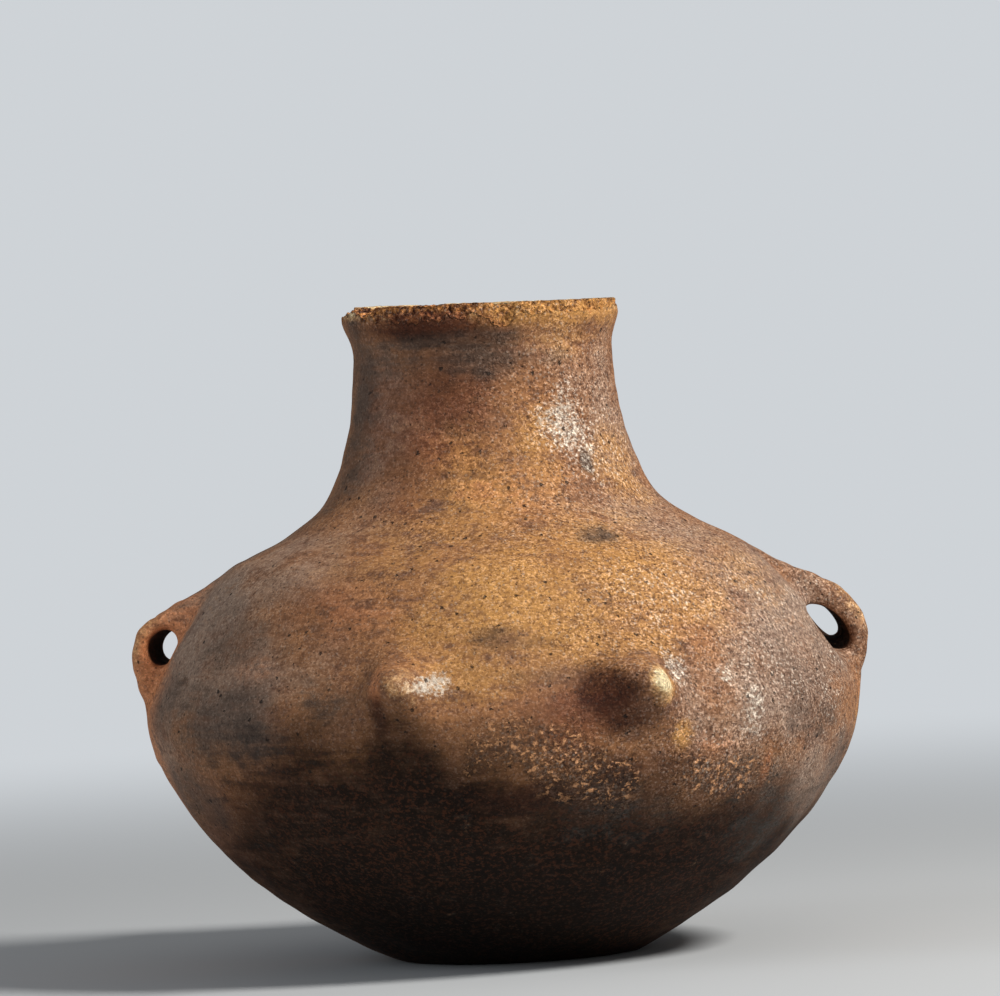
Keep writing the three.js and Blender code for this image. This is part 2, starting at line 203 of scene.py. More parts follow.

# Weathered patches of the outside, among them painted highlight on the knobs' tips and painted shadow beside
# the knobs and under the lip. Each row is azimuth in degrees (0 is the front, 90 is +X), height, half width
# and half height in millimetres, strength, and how ragged the edge is.
PATCHES = {
    "gold": (
        (6, 138, 46, 26, 1.15, 0.5), (26, 150, 44, 22, 0.9, 0.5), (36, 136, 34, 16, 0.85, 0.6),
        (58, 142, 30, 16, 0.5, 0.7), (26, 123, 26, 10, 0.8, 0.6), (38, 236, 22, 8, 0.6, 0.6),
        (58, 184, 18, 20, 0.7, 0.7), (-4, 178, 26, 24, 0.8, 0.5), (18, 196, 14, 22, 0.9, 0.5),
        # The row at 25 degrees and 107 mm is a painted highlight on the front right knob's tip
        (-4, 116, 30, 12, 0.7, 0.6), (-20, 158, 34, 16, 0.45, 0.6), (25, 107, 7, 8, 1.2, 0.3),
        (29, 87, 5, 6, 1.2, 0.4), (46, 247, 52, 8, 1.2, 0.3), (86, 88, 6, 9, 0.8, 0.6),
        (-100, 104, 8, 9, 0.6, 0.6), (205, 150, 50, 22, 0.9, 0.5), (160, 195, 30, 25, 0.7, 0.5),
        # The row at 203 degrees and 108 mm is a painted highlight on the back left knob's tip
        (118, 130, 30, 20, 0.5, 0.6), (203, 108, 6, 7, 1.0, 0.3),
    ),
    "red": (
        (-26, 202, 36, 32, 1.1, 0.6), (-34, 142, 30, 18, 0.6, 0.7), (-92, 118, 16, 30, 1.2, 0.5),
        (-46, 69, 44, 18, 0.6, 0.7), (-69, 48, 40, 22, 0.7, 0.7), (-100, 75, 34, 30, 0.8, 0.7),
        # The rows at 12 degrees, 98 mm and at -22 degrees, 243 mm are also painted shadow beside the front
        # right knob and painted shade under the lip
        (12, 98, 26, 14, 1.0, 0.6), (60, 190, 22, 24, 0.4, 0.6), (-22, 243, 34, 7, 1.3, 0.3),
        (10, 243, 4, 8, 1.2, 0.3), (150, 88, 42, 20, 0.7, 0.7), (-150, 140, 40, 24, 0.6, 0.7),
        (-140, 200, 26, 24, 0.6, 0.6),
    ),
    "rust": (
        # The third row is a painted highlight on the left edge of the front left knob, where the light
        # catches it
        (-89, 118, 20, 27, 1.4, 0.3), (-85, 92, 24, 40, 1.1, 0.5), (-19, 112, 5, 7, 1.1, 0.3),
        (2, 180, 26, 16, 0.4, 0.7), (-80, 50, 30, 18, 0.3, 0.8), (-55, 62, 50, 14, 0.35, 0.9),
        (-46, 118, 22, 7, 0.4, 0.8), (-28, 138, 30, 12, 0.35, 0.7), (48, 72, 2.6, 11, 1.2, 0.4),
        (86, 92, 5, 12, 0.7, 0.6), (36, 82, 12, 6, 0.5, 0.8), (6, 88, 26, 8, 0.4, 0.8),
        (-24, 200, 18, 26, 0.35, 0.8), (93, 118, 12, 14, 0.4, 0.7), (175, 130, 50, 20, 0.4, 0.8),
    ),
    "scorch": (
        # Painted shadow: the first three rows beside and below the front knobs, and the fourth in the crease
        # under the lip; the other rows darken the clay and keep its hue
        (16, 104, 12, 12, 1.25, 0.3), (19, 94, 20, 8, 0.75, 0.6), (-19, 99, 6, 13, 1.0, 0.3),
        (-32, 242, 30, 5, 1.0, 0.4), (-20, 218, 16, 14, 0.5, 0.7), (1, 67, 26, 8, 1.2, 0.4),
        (22, 77, 24, 9, 0.9, 0.7), (64, 100, 44, 22, 0.5, 0.8), (1, 126, 17, 6, 0.5, 0.7),
        (8, 98, 16, 8, 0.35, 0.7), (-40, 88, 30, 12, 0.4, 0.7), (185, 96, 30, 10, 0.5, 0.7),
    ),
    "dust": (
        (-72, 128, 56, 40, 1.0, 0.5), (-50, 112, 46, 24, 0.8, 0.6), (-58, 152, 46, 18, 0.7, 0.6),
        (-80, 84, 44, 26, 0.7, 0.6), (-48, 205, 22, 44, 0.45, 0.6), (64, 122, 62, 40, 0.95, 0.5),
        (48, 96, 46, 24, 0.9, 0.6), (64, 66, 50, 24, 0.9, 0.6), (20, 62, 40, 16, 0.35, 0.7),
        (52, 162, 40, 20, 0.7, 0.6), (62, 205, 24, 36, 0.7, 0.6), (30, 232, 22, 12, 0.4, 0.7),
        (150, 110, 60, 30, 0.6, 0.7), (-150, 180, 40, 30, 0.6, 0.7),
    ),
    "smoke": (
        # Painted shade: the first row down the neck's left edge, and the next four rows, at 229 to 237 mm,
        # in the crease under the lip
        (-70, 214, 16, 42, 1.0, 0.4), (-14, 237, 34, 5, 0.95, 0.6), (-36, 230, 22, 7, 0.6, 0.7),
        (-2, 230, 24, 8, 0.9, 0.8), (22, 229, 16, 4, 0.6, 0.8), (-6, 206, 26, 6, 0.4, 0.8),
        (-58, 126, 34, 14, 0.6, 0.7), (-52, 96, 46, 20, 0.9, 0.5), (-30, 104, 16, 12, 0.6, 0.5),
        (-74, 104, 24, 18, 0.7, 0.6), (28, 161, 11, 3.5, 0.9, 0.6), (1, 126, 15, 6, 0.8, 0.7),
        (-68, 68, 34, 18, 0.8, 0.7), (40, 189, 3.5, 5, 1.1, 0.4), (60, 84, 30, 8, 0.6, 0.8),
        (78, 70, 40, 14, 0.6, 0.7), (8, 112, 20, 5, 0.4, 0.8), (120, 165, 40, 20, 0.7, 0.6),
        (-165, 115, 50, 24, 0.8, 0.6), (135, 222, 26, 20, 0.6, 0.6), (-120, 100, 36, 24, 0.8, 0.6),
    ),
    "pale": (
        (34, 202, 20, 20, 1.05, 0.3), (42, 184, 26, 10, 0.6, 0.8), (62, 196, 16, 34, 0.45, 0.9),
        # The row at -12.5 degrees is whitish lime and also a painted highlight on the front left knob's
        # right flank
        (-12.5, 111, 11, 5, 1.2, 0.5), (29, 112, 9, 7, 1.0, 0.6), (39, 107, 6, 6, 1.0, 0.6),
        (44, 94, 11, 9, 1.0, 0.8), (44, 86, 10, 7, 0.85, 0.8), (36, 124, 20, 10, 0.5, 0.8),
        (30, 192, 14, 12, 0.6, 0.8), (50, 112, 30, 18, 0.55, 0.9), (34, 136, 30, 20, 0.6, 0.9),
        (70, 100, 30, 34, 0.55, 0.9), (60, 132, 34, 18, 0.6, 0.9), (78, 132, 14, 10, 0.6, 0.9),
        (172, 118, 16, 10, 0.9, 0.8), (140, 205, 14, 12, 0.7, 0.8), (-135, 88, 20, 12, 0.6, 0.9),
    ),
    "grit": (
        (56, 128, 110, 66, 1.0, 0.4), (46, 202, 50, 46, 1.0, 0.4), (40, 80, 90, 30, 0.9, 0.5),
        (-5, 190, 40, 30, 0.45, 0.5), (10, 135, 60, 30, 0.4, 0.5), (160, 140, 110, 60, 0.6, 0.6),
        (-15, 250, 90, 9, 0.8, 0.3),
    ),
    "eroded": (
        (4, 85, 22, 12, 1.2, 0.5), (12, 72, 24, 8, 0.6, 0.7), (18, 75, 26, 10, 0.85, 0.7),
        (38, 70, 34, 11, 0.75, 0.8), (190, 82, 34, 12, 0.8, 0.8),
    ),
}

# The soot round the bowl, and painted shadow below the front left knob, where the edge rises at -21 and -15
# degrees: azimuth in degrees, height of its upper edge in millimetres, and strength
SOOT_AND_SHADE_EDGE = (
    (-180, 84, 1.0), (-130, 72, 0.9), (-95, 46, 0.45), (-72, 58, 0.66), (-58, 68, 0.74), (-45, 88, 0.88),
    (-30, 93, 0.97), (-21, 99, 1.0), (-15, 99, 1.0), (-9, 83, 1.0), (0, 72, 1.0), (10, 76, 1.0),
    (20, 74, 0.98), (31, 69, 0.96), (43, 70, 0.94), (55, 66, 0.92), (75, 56, 0.92), (100, 60, 0.8),
    (130, 78, 1.0), (155, 70, 1.0), (180, 84, 1.0),
)


def weathering(points):
    """Strength of each kind of weathering and of painted highlight and shade at points of the outside, by
    the name of its attribute
    """
    azimuth = np.degrees(np.arctan2(points[:, 0], -points[:, 1]))
    reach = np.hypot(points[:, 0], points[:, 1]) / MILLIMETRE
    height = points[:, 2] / MILLIMETRE
    ragged = 0.75 * waves(points, 0.030, 11) + 0.25 * waves(points, 0.011, 12)
    strengths = {}
    for kind, patches in PATCHES.items():
        total = np.zeros(len(points))
        for centre, level, half_width, half_height, strength, raggedness in patches:
            turn = (azimuth - centre + 180) % 360 - 180
            off = np.hypot(np.radians(turn) * reach / half_width, (height - level) / half_height)
            frayed = 0.35 * raggedness * ragged
            total = np.maximum(total, strength * smoothstep(PATCH_END, PATCH_FULL, off + frayed))
        strengths[kind] = total
    turns, edges, strength = np.transpose(SOOT_AND_SHADE_EDGE)
    edge = np.interp(azimuth, turns, edges) + 2 * ragged + 3 * waves(points, 0.050, 13)
    sooty_and_shaded = np.interp(azimuth, turns, strength) * smoothstep(-22, 24, edge - height)
    # The front of the bowl is blackest, low down: soot, and painted shade where the bowl turns down from the
    # light
    charred_and_shaded = smoothstep(58, 12, height) * smoothstep(75, 15, np.abs(azimuth + 12))
    strengths["soot"] = sooty_and_shaded + 0.6 * charred_and_shaded
    return strengths


# The wall


def cubic(start, start_handle, end_handle, end, count=240):
    share = np.linspace(0, 1, count)[:, None]
    rest = 1 - share
    leaving = 3 * rest**2 * share * start_handle
    arriving = 3 * rest * share**2 * end_handle
    return rest**3 * start + leaving + arriving + share**3 * end


def heading(run):
    """Direction in the plane of radius and height, for an angle up from level"""
    return np.array((math.cos(run), math.sin(run)))


def around_axis(azimuth, radial, height):
    """Points or directions at an azimuth, where 0 is the front and 90 degrees is +X"""
    return np.stack(np.broadcast_arrays(radial * np.sin(azimuth), -radial * np.cos(azimuth), height), -1)


def turns_round(count):
    return np.linspace(0, FULL_TURN, count, endpoint=False)


# How far the jar's middle stands to the right, in millimetres, by height in metres
LEAN = (
    (0, 1.6), (0.035, 1.5), (0.065, 1.0), (0.095, 0.1), (0.125, -0.9), (0.155, -1.9), (0.170, -1.9),
    (0.190, -1.3), (0.215, -1.1), (0.250, -1.4),
)
EVEN_STEP = 0.0005  # between the places where the wall's direction is kept
ALONG_STROKES = (5, 5, 1)  # marks of the hand are drawn out round the jar

# How far the wall is pressed in under the lugs' own clay, and how far from the hole that starts and is full
PRESS_DEPTH, PRESS_START, PRESS_FULL = 0.0062, 0.0058, 0.0026


class Wall:
    """The body's wall, placed by azimuth and by the length of its outline from the foot"""

    def __init__(self, scene):
        body = scene.jar_body
        self.body = body
        self.shoulder_height = body.belly_height + body.shoulder_rise
        self.neck_root_height = self.shoulder_height + body.neck_root_rise
        self.waist_height = self.neck_root_height + body.waist_rise
        self.lip_height = self.waist_height + body.lip_rise
        self.top = self.lip_height + body.lip_face
        upright = math.pi / 2
        # Radius, height, the way the wall runs, and how far the curve keeps to it before and after
        stations = (
            (body.foot_radius, 0, body.foot_slope, 0, 0.049),
            (body.belly_radius, body.belly_height, upright, 0.034, 0.010),
            (body.shoulder_radius, self.shoulder_height, math.pi - body.shoulder_slope, 0.017, 0.027),
            (body.neck_root_radius, self.neck_root_height, math.pi - body.neck_root_slope, 0.013, 0.012),
            (body.waist_radius, self.waist_height, upright, 0.017, 0.004),
            (body.lip_radius, self.lip_height, body.lip_slope, 0.004, 0),
        )
        line = [np.array([(body.foot_radius, 0.0)])]
        for (r0, z0, run0, _, after), (r1, z1, run1, before, _) in zip(stations, stations[1:]):
            start, end = np.array((r0, z0)), np.array((r1, z1))
            line.append(cubic(start, start + after * heading(run0), end - before * heading(run1), end)[1:])
        rise = np.linspace(self.lip_height, self.top - body.lip_rounding, 24)[1:]
        line.append(np.stack((np.full_like(rise, body.lip_radius), rise), -1))
        line = np.vstack(line)
        self.length = np.concatenate(([0], np.cumsum(np.hypot(*np.diff(line, axis=0).T))))
        self.radius, self.height = line.T
        run = np.gradient(line, self.length, axis=0)
        # The way the wall runs, at even steps and smoothed over five of them
        self.even = np.arange(0, self.length[-1], EVEN_STEP)
        run = np.stack([np.interp(self.even, self.length, part) for part in run.T], -1)
        window = np.ones(5) / 5
        smooth = [np.convolve(np.pad(part, 2, mode="edge"), window, "valid") for part in run.T]
        run = unit(np.stack(smooth, -1))
        self.outward = np.stack((run[:, 1], -run[:, 0]), -1)
        self.tunnels = []

    def height_at(self, rise):
        """Height at a rise, which is a share of the way from the belly to the shoulder"""
        return self.body.belly_height + rise * self.body.shoulder_rise

    def length_at(self, height):
        return np.interp(height, self.height, self.length)

    def radius_at(self, height):
        return np.interp(height, self.height, self.radius)

    def thickness(self, height):
        body = self.body
        heights = (0, body.belly_height, self.waist_height, self.top)
        return np.interp(height, heights, (body.foot_wall, body.belly_wall, body.waist_wall, body.lip_wall))

    def lean(self, height):
        """How far the jar's middle stands to the right at a height"""
        return MILLIMETRE * np.interp(height, *(np.array(column) for column in zip(*LEAN)))

    def dents(self, points):
        """Hand-made unevenness of the outer face"""
        broad = self.body.unevenness * waves(points, 0.075, 1)
        thumbs = 0.00020 * waves(points, 0.024, 2)
        strokes = 0.00007 * waves(points, 0.0075, 3, ALONG_STROKES)
        return broad + thumbs + strokes

    def ridges(self, points):
        """Finger ridges and dents of the inner face"""
        return 0.0007 * waves(points, 0.050, 4) + 0.0004 * waves(points, 0.014, 5, ALONG_STROKES)

    def pressed(self, points):
        """How far the wall is pressed in under the lugs' own clay, along their holes"""
        depth = np.zeros(points.shape[:-1])
        for tunnel in self.tunnels:
            near = smoothstep(PRESS_START, PRESS_FULL, tunnel.recess(points))
            depth = np.maximum(depth, PRESS_DEPTH * near)
        return depth

    def face(self, azimuth, length, inside=False):
        """Points of the outer or inner face"""
        height = np.interp(length, self.length, self.height)
        radius = np.interp(length, self.length, self.radius)
        out_r = np.interp(length, self.even, self.outward[:, 0])
        out_z = np.interp(length, self.even, self.outward[:, 1])
        level = around_axis(azimuth, radius, height)
        if inside:
            offset = self.ridges(level) - self.thickness(height)
        else:
            offset = self.dents(level) - self.pressed(level)
        points = level + around_axis(azimuth, out_r, out_z) * offset[..., None]
        points[..., 0] += self.lean(points[..., 2])
        return points

    def facing(self, azimuth, length, inside=False):
        """Directions in which the face looks, out of the clay"""
        step = 0.0006
        swing = 10 * step
        run = self.face(azimuth, length + step, inside) - self.face(azimuth, length - step, inside)
        turn = self.face(azimuth + swing, length, inside) - self.face(azimuth - swing, length, inside)
        normal = unit(np.cross(turn, run))
        return -normal if inside else normal

    def distance(self, points):
        """How far points are outside the outer face, exact at the face itself"""
        upright = points.copy()
        upright[..., 0] -= self.lean(points[..., 2])
        height = upright[..., 2]
        out_r = np.interp(self.length_at(height), self.even, self.outward[:, 0])
        off = np.hypot(upright[..., 0], upright[..., 1]) - self.radius_at(height)
        return off * out_r - self.dents(upright)


LOWER_COURSES = ("lower_wall_course", "middle_wall_course", "belly_course")
SHOULDER_COURSES = ("lower_shoulder_course", "middle_shoulder_course")
UPPER_COURSES = ("upper_shoulder_course", "neck_root_course", "neck_course")
SLOTS = {
    "base_disc": "smoked_clay",
    "lower_wall_course": "smoked_clay",
    "middle_wall_course": "smoked_clay",
    "belly_course": "mottled_clay",
    "lower_shoulder_course": "mottled_clay",
    "middle_shoulder_course": "mottled_clay",
    "upper_shoulder_course": "ochre_clay",
    "neck_root_course": "ochre_clay",
    "neck_course": "ochre_clay",
    "rim_course": "broken_clay",
    "left_lug": "orange_clay",
    "right_lug": "orange_clay",
    "front_left_knob": "worn_clay",
    "front_right_knob": "worn_clay",
    "back_right_knob": "worn_clay",
    "back_left_knob": "worn_clay",
}


def course_spans(wall):
    """Where each course starts and ends along the wall's outline"""
    body = wall.body
    base = wall.length_at(body.base_edge)
    belly = wall.length_at(body.belly_height - body.belly_joint_drop)
    shoulder = wall.length_at(body.belly_height + body.shoulder_joint_rise)
    rim = wall.length_at(wall.top - body.rim_strip)
    spans = {"base_disc": (0, base), "rim_course": (rim, wall.length[-1])}
    for names, low, high in (
        (LOWER_COURSES, base, belly),
        (SHOULDER_COURSES, belly, shoulder),
        (UPPER_COURSES, shoulder, rim),
    ):
        marks = np.linspace(low, high, len(names) + 1)
        spans.update(zip(names, zip(marks, marks[1:])))
    return spans


def marks_between(low, high, pitch):
    return np.linspace(low, high, max(2, math.ceil((high - low) / pitch) + 1))


# Lugs: where each one's edge leaves the wall, crests and comes back, and its oval hole. Rises are shares
# of the way from the belly to the shoulder, and standoffs, lengths and widths are shares of a lug's width.
# A hole leans from the wall's slope by so many degrees. Towards the back it narrows by its taper, turns in
# and climbs. Its run is how much further it goes on at the front as a groove in the wall.
LUGS = {
    "left_lug": {
        "azimuth": -93,
        "top": {"rise": 0.93, "pull_out": 0.76, "pull_down": 0.40},
        "crest": {"rise": 0.41, "standoff": 0.60, "pull_up": 0.46, "pull_down": 0.36},
        "bottom": {"rise": -0.20, "pull_up": 0.36},
        "hole": {
            "rise": 0.49, "standoff": 0.15, "length": 0.265, "width": 0.215, "lean": 5, "taper": 0.09,
            "run": 0,
        },
        "passage": {"turn": 10, "climb": 0},
    },
    "right_lug": {
        "azimuth": 93,
        "top": {"rise": 0.87, "pull_out": 0.57, "pull_down": 0.23},
        "crest": {"rise": 0.32, "standoff": 0.50, "pull_up": 0.57, "pull_down": 0.42},
        "bottom": {"rise": -0.14, "pull_up": 0.42},
        "hole": {
            "rise": 0.43, "standoff": -0.015, "length": 0.40, "width": 0.215, "lean": -16, "taper": 0.16,
            "run": 0.6,
        },
        "passage": {"turn": 2, "climb": 7},
    },
}
TAPER_REACH = 0.015  # how far from its middle a hole goes on changing its width
RUN_OUT_RISE = 0.011  # how far a groove lifts out of the wall where it runs out
ROOT_FLARE = 0.35  # how much wider a lug is at its roots, as a share


def soft_min(one, other, blend):
    meet = np.maximum(blend - np.abs(one - other), 0) / blend
    return np.minimum(one, other) - meet * meet * blend / 4


def outline_distance(places, corners):
    """Signed distance of places in a plane from a closed outline, negative inside"""
    nearest = np.full(len(places), np.inf)
    inside = np.zeros(len(places), bool)
    for start, end in zip(corners, np.roll(corners, -1, axis=0)):
        side = end - start
        off = places - start
        share = np.clip(off @ side / (side @ side), 0, 1)
        nearest = np.minimum(nearest, np.hypot(*(off - share[:, None] * side).T))
        if start[1] == end[1]:
            continue
        crossing = start[0] + side[0] * (places[:, 1] - start[1]) / side[1]
        inside ^= ((start[1] > places[:, 1]) != (end[1] > places[:, 1])) & (places[:, 0] < crossing)
    return np.where(inside, -nearest, nearest)


class Tunnel:
    """A lug's oval hole, along the wall and wider at the front, dug only a little way into the wall"""

    def __init__(self, wall, lugs, lug):
        hole, passage = lug["hole"], lug["passage"]
        azimuth = math.radians(lug["azimuth"])
        side = 1 if azimuth > 0 else -1
        height = wall.height_at(hole["rise"])
        out = wall.radius_at(height) + hole["standoff"] * lugs.width
        self.centre = around_axis(azimuth, out, height)
        # The hole's own directions are first the jar's outwards, along and up, and are then turned
        outwards = around_axis(azimuth, 1.0, 0.0)
        along = np.array((-outwards[1], outwards[0], 0))
        axes = np.stack((outwards, along, (0.0, 0.0, 1.0)), -1)
        climb = Matrix.Rotation(side * math.radians(passage["climb"]), 3, "X")
        turn = Matrix.Rotation(side * math.radians(passage["turn"]), 3, "Z")
        ways = axes @ np.array(climb @ turn)
        out_r, out_z = (np.interp(wall.length_at(height), wall.even, part) for part in wall.outward.T)
        lean = math.atan2(out_r, out_z) + math.radians(hole["lean"])
        self.long_way = ways @ (math.cos(lean), 0, -math.sin(lean))
        self.short_way = ways @ (math.sin(lean), 0, math.cos(lean))
        self.through = ways[:, 1]
        self.half_length = hole["length"] * lugs.width
        self.half_width = hole["width"] * lugs.width
        self.taper = side * 2 * hole["taper"] / lugs.width
        self.reach, self.fade = lugs.hole_reach, lugs.hole_fade
        self.run = -side * self.through * hole["run"] * lugs.width

    def distance(self, points):
        off = points - self.centre
        size = 1 - self.taper * np.clip(off @ self.through, -TAPER_REACH, TAPER_REACH)
        long_share = off @ self.long_way / (self.half_length * size)
        short_share = off @ self.short_way / (self.half_width * size)
        share = np.hypot(long_share, short_share) + TINY
        steepness = np.hypot(long_share / (self.half_length * size), short_share / (self.half_width * size))
        return share * (share - 1) / (steepness + TINY)

    def recess(self, points):
        """Distance from what is dug out of the wall, which runs out towards both ends"""
        off = points - self.centre
        reach = self.reach + np.linalg.norm(self.run) * (off @ self.run > 0)
        run_out = smoothstep(reach, reach + self.fade, np.abs(off @ self.through))
        return self.distance(points) + RUN_OUT_RISE * run_out


class Ear:
    """A lug's clay as a signed distance: a rounded ear smeared onto the wall and pierced by its hole"""

    def __init__(self, wall, lugs, lug, tunnel):
        self.wall, self.lugs, self.tunnel = wall, lugs, tunnel
        azimuth = math.radians(lug["azimuth"])
        self.outward = around_axis(azimuth, 1.0, 0.0)
        self.sideways = np.array((-self.outward[1], self.outward[0], 0))
        top, crest, bottom = lug["top"], lug["crest"], lug["bottom"]
        heights = [wall.height_at(spot["rise"]) for spot in (top, crest, bottom)]
        start, peak, end = (np.array((wall.radius_at(height), height)) for height in heights)
        start, end = start - (lugs.root_dive, 0), end - (lugs.root_dive, 0)
        peak = peak + (crest["standoff"] * lugs.width, 0)
        start_handle = start + (peak - start) * (top["pull_out"], top["pull_down"])
        peak_top = np.array((peak[0], peak[1] + (start[1] - peak[1]) * crest["pull_up"]))
        peak_bottom = np.array((peak[0], peak[1] + (end[1] - peak[1]) * crest["pull_down"]))
        end_handle = np.array((end[0], end[1] + (peak[1] - end[1]) * bottom["pull_up"]))
        upper = cubic(start, start_handle, peak_top, peak, 22)
        lower = cubic(peak, peak_bottom, end_handle, end, 18)[1:]
        back = np.linspace(end[1], start[1], 8)
        back = np.stack((wall.radius_at(back) - lugs.root_depth, back), -1)
        self.outline = np.vstack((upper, lower, back))
        self.crest_height = peak[1]
        self.reach = (start[1] - end[1]) / 2

    def solid(self, points):
        """The ear alone: its outline, given its width with rounded edges and flared roots"""
        places = np.stack((points @ self.outward, points[:, 2]), -1)
        across = np.abs(points @ self.sideways)
        from_crest = np.abs(places[:, 1] - self.crest_height) / self.reach
        half_width = self.lugs.width / 2 * (1 + ROOT_FLARE * np.clip(from_crest - 0.2, 0, 1) ** 2)
        rounding = self.lugs.rounding
        off_outline = outline_distance(places, self.outline) + rounding
        off_side = across - half_width + rounding
        outside = np.hypot(np.maximum(off_outline, 0), np.maximum(off_side, 0))
        return outside + np.minimum(np.maximum(off_outline, off_side), 0) - rounding

    def distance(self, points):
        lugs = self.lugs
        off_wall = self.wall.distance(points)
        lumps = 0.00028 * waves(points, 0.017, 21) + 0.00012 * waves(points, 0.007, 22)
        skin = soft_min(self.solid(points) - lumps, off_wall + 0.00012, lugs.root_blend)
        buried = smoothstep(0.0022, -0.0008, off_wall)
        bore, recess = self.tunnel.distance(points), self.tunnel.recess(points)
        hole = bore + (recess - bore) * buried
        pierced = -soft_min(-skin, hole - 0.5 * lumps, lugs.hole_blend)
        kept = np.maximum(pierced, -off_wall - lugs.skin_depth)
        # The clay ends in an oval round the lug
        near = np.hypot(
            (points @ self.sideways) / (lugs.width * 1.5),
            (points[:, 2] - self.outline[:, 1].mean()) / (self.reach * 1.34),
        )
        return np.maximum(kept, (near - 1) * lugs.width * 0.7)

    def facing(self, points):
        step = 0.0003
        sides = np.eye(3) * step
        slope = [self.distance(points + side) - self.distance(points - side) for side in sides]
        return unit(np.stack(slope, -1) / (2 * step))


def net_over(field, lowest, pitch):
    """Points and quads of the zero surface of a field on an even lattice, one point in each crossed cell"""
    inside = field < 0
    cells = tuple(size - 1 for size in field.shape)
    offsets = [(i, j, k) for i in (0, 1) for j in (0, 1) for k in (0, 1)]

    def corner(array, offset):
        return array[tuple(slice(o, o + n) for o, n in zip(offset, cells))]

    filled = sum(corner(inside, offset).astype(int) for offset in offsets)
    crossed = (filled > 0) & (filled < 8)
    total = np.zeros(cells + (3,))
    count = np.zeros(cells)
    for offset in offsets:
        for axis in range(3):
            if offset[axis]:
                continue
            other = tuple(o + (axis == i) for i, o in enumerate(offset))
            here, there = corner(field, offset), corner(field, other)
            cut = (here < 0) != (there < 0)
            share = np.where(cut, here / np.where(cut, here - there, 1), 0)
            for i in range(3):
                total[..., i] += np.where(cut, offset[i] + (share if i == axis else 0), 0)
            count += cut
    index = np.full(cells, -1)
    index[crossed] = np.arange(crossed.sum())
    lattice = np.argwhere(crossed)
    points = lowest + (lattice + total[crossed] / count[crossed][:, None]) * pitch
    quads = []
    for axis in range(3):
        one, two = (axis + 1) % 3, (axis + 2) % 3
        span = [slice(1, -1)] * 3
        span[axis] = slice(None, -1)
        ahead = list(span)
        ahead[axis] = slice(1, None)
        leaves = inside[tuple(span)] & ~inside[tuple(ahead)]
        enters = ~inside[tuple(span)] & inside[tuple(ahead)]
        for change, order in ((leaves, (0, 1, 2, 3)), (enters, (3, 2, 1, 0))):
            base = np.argwhere(change)
            base[:, one] += 1
            base[:, two] += 1
            ring = []
            for step_one, step_two in ((-1, -1), (0, -1), (0, 0), (-1, 0)):
                cell = base.copy()
                cell[:, one] += step_one
                cell[:, two] += step_two
                ring.append(index[tuple(cell.T)])
            quads.append(np.stack([ring[i] for i in order], -1))
    return points, np.vstack(quads)


# Pieces


def grid(rows, columns, closed=True):
    """Quads over rows of points that run round the axis"""
    ahead = np.arange(rows if closed else rows - 1)
    row, column = np.meshgrid(ahead, np.arange(columns), indexing="ij")
    up, on = (row + 1) % rows, (column + 1) % columns
    quad = (row * columns + column, row * columns + on, up * columns + on, up * columns + column)
    return np.stack(quad, -1).reshape(-1, 4)


def fan(centre, ring, turned=False):
    """Triangles from a point to a closed ring of points"""
    corners = (np.full(len(ring), centre), ring, np.roll(ring, -1))
    return np.stack((corners[0], corners[2], corners[1]) if turned else corners, -1)


def flat_facing(points, faces):
    """The direction that each face looks in, by its first three corners"""
    one, two, three = (points[faces[:, i]] for i in (0, 1, 2))
    return unit(np.cross(two - one, three - one))


def round_facing(points, quads):
    """The direction that each point looks in, as the sum of the quads round it"""
    facing = np.zeros_like(points)
    np.add.at(facing, quads.ravel(), np.repeat(flat_facing(points, quads), 4, axis=0))
    return facing


def add_piece(node, points, facing, quads, flat=None, fans=(), marks=None):
    """Makes one clay piece in place of a node. Points, the way they face and the faces are arrays, flat
    marks the quads of joints, fans are triangles, and marks add to the weathering and to the painted
    highlight and shade."""
    fans = np.asarray(fans, int).reshape(-1, 3)
    mesh = bpy.data.meshes.new(node)
    mesh.from_pydata(points.tolist(), [], quads.tolist() + fans.tolist())
    corner_facing = facing[quads]
    if flat is not None:
        corner_facing[flat] = flat_facing(points, quads[flat])[:, None, :]
    corner_facing = np.vstack((corner_facing.reshape(-1, 3), facing[fans].reshape(-1, 3)))
    mesh.polygons.foreach_set("use_smooth", np.ones(len(mesh.polygons), bool))
    mesh.normals_split_custom_set(corner_facing.tolist())
    strengths = weathering(points)
    strengths.update(dict.fromkeys(("broken", "worn"), np.zeros(len(points))))
    for kind, values in (marks or {}).items():
        strengths[kind] = np.maximum(strengths[kind], values)
    for kind, values in strengths.items():
        mesh.attributes.new(kind, "FLOAT", "POINT").data.foreach_set("value", values.astype(np.float32))
    mesh.materials.append(clay_finish(SLOTS[node]))
    piece = bpy.data.objects.new("clay_" + node, mesh)
    bpy.context.scene.collection.objects.link(piece)
    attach(piece, "root")
    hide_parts(node)


AROUND = 360
OUTER_PITCH = 0.0022
INNER_PITCH = 0.006
UNDERSIDE_RADII = (0.004, 0.012, 0.020, 0.028, 0.035, 0.041, 0.0445, 0.0462)
UNDERSIDE_HOLLOW = 0.0006
FLOOR_RADII = (0.96, 0.88, 0.76, 0.6, 0.44, 0.28, 0.12)  # shares of the inner radius


def all_tunnels(scene, wall):
    return {node: Tunnel(wall, scene.jar_lugs, lug) for node, lug in LUGS.items()}


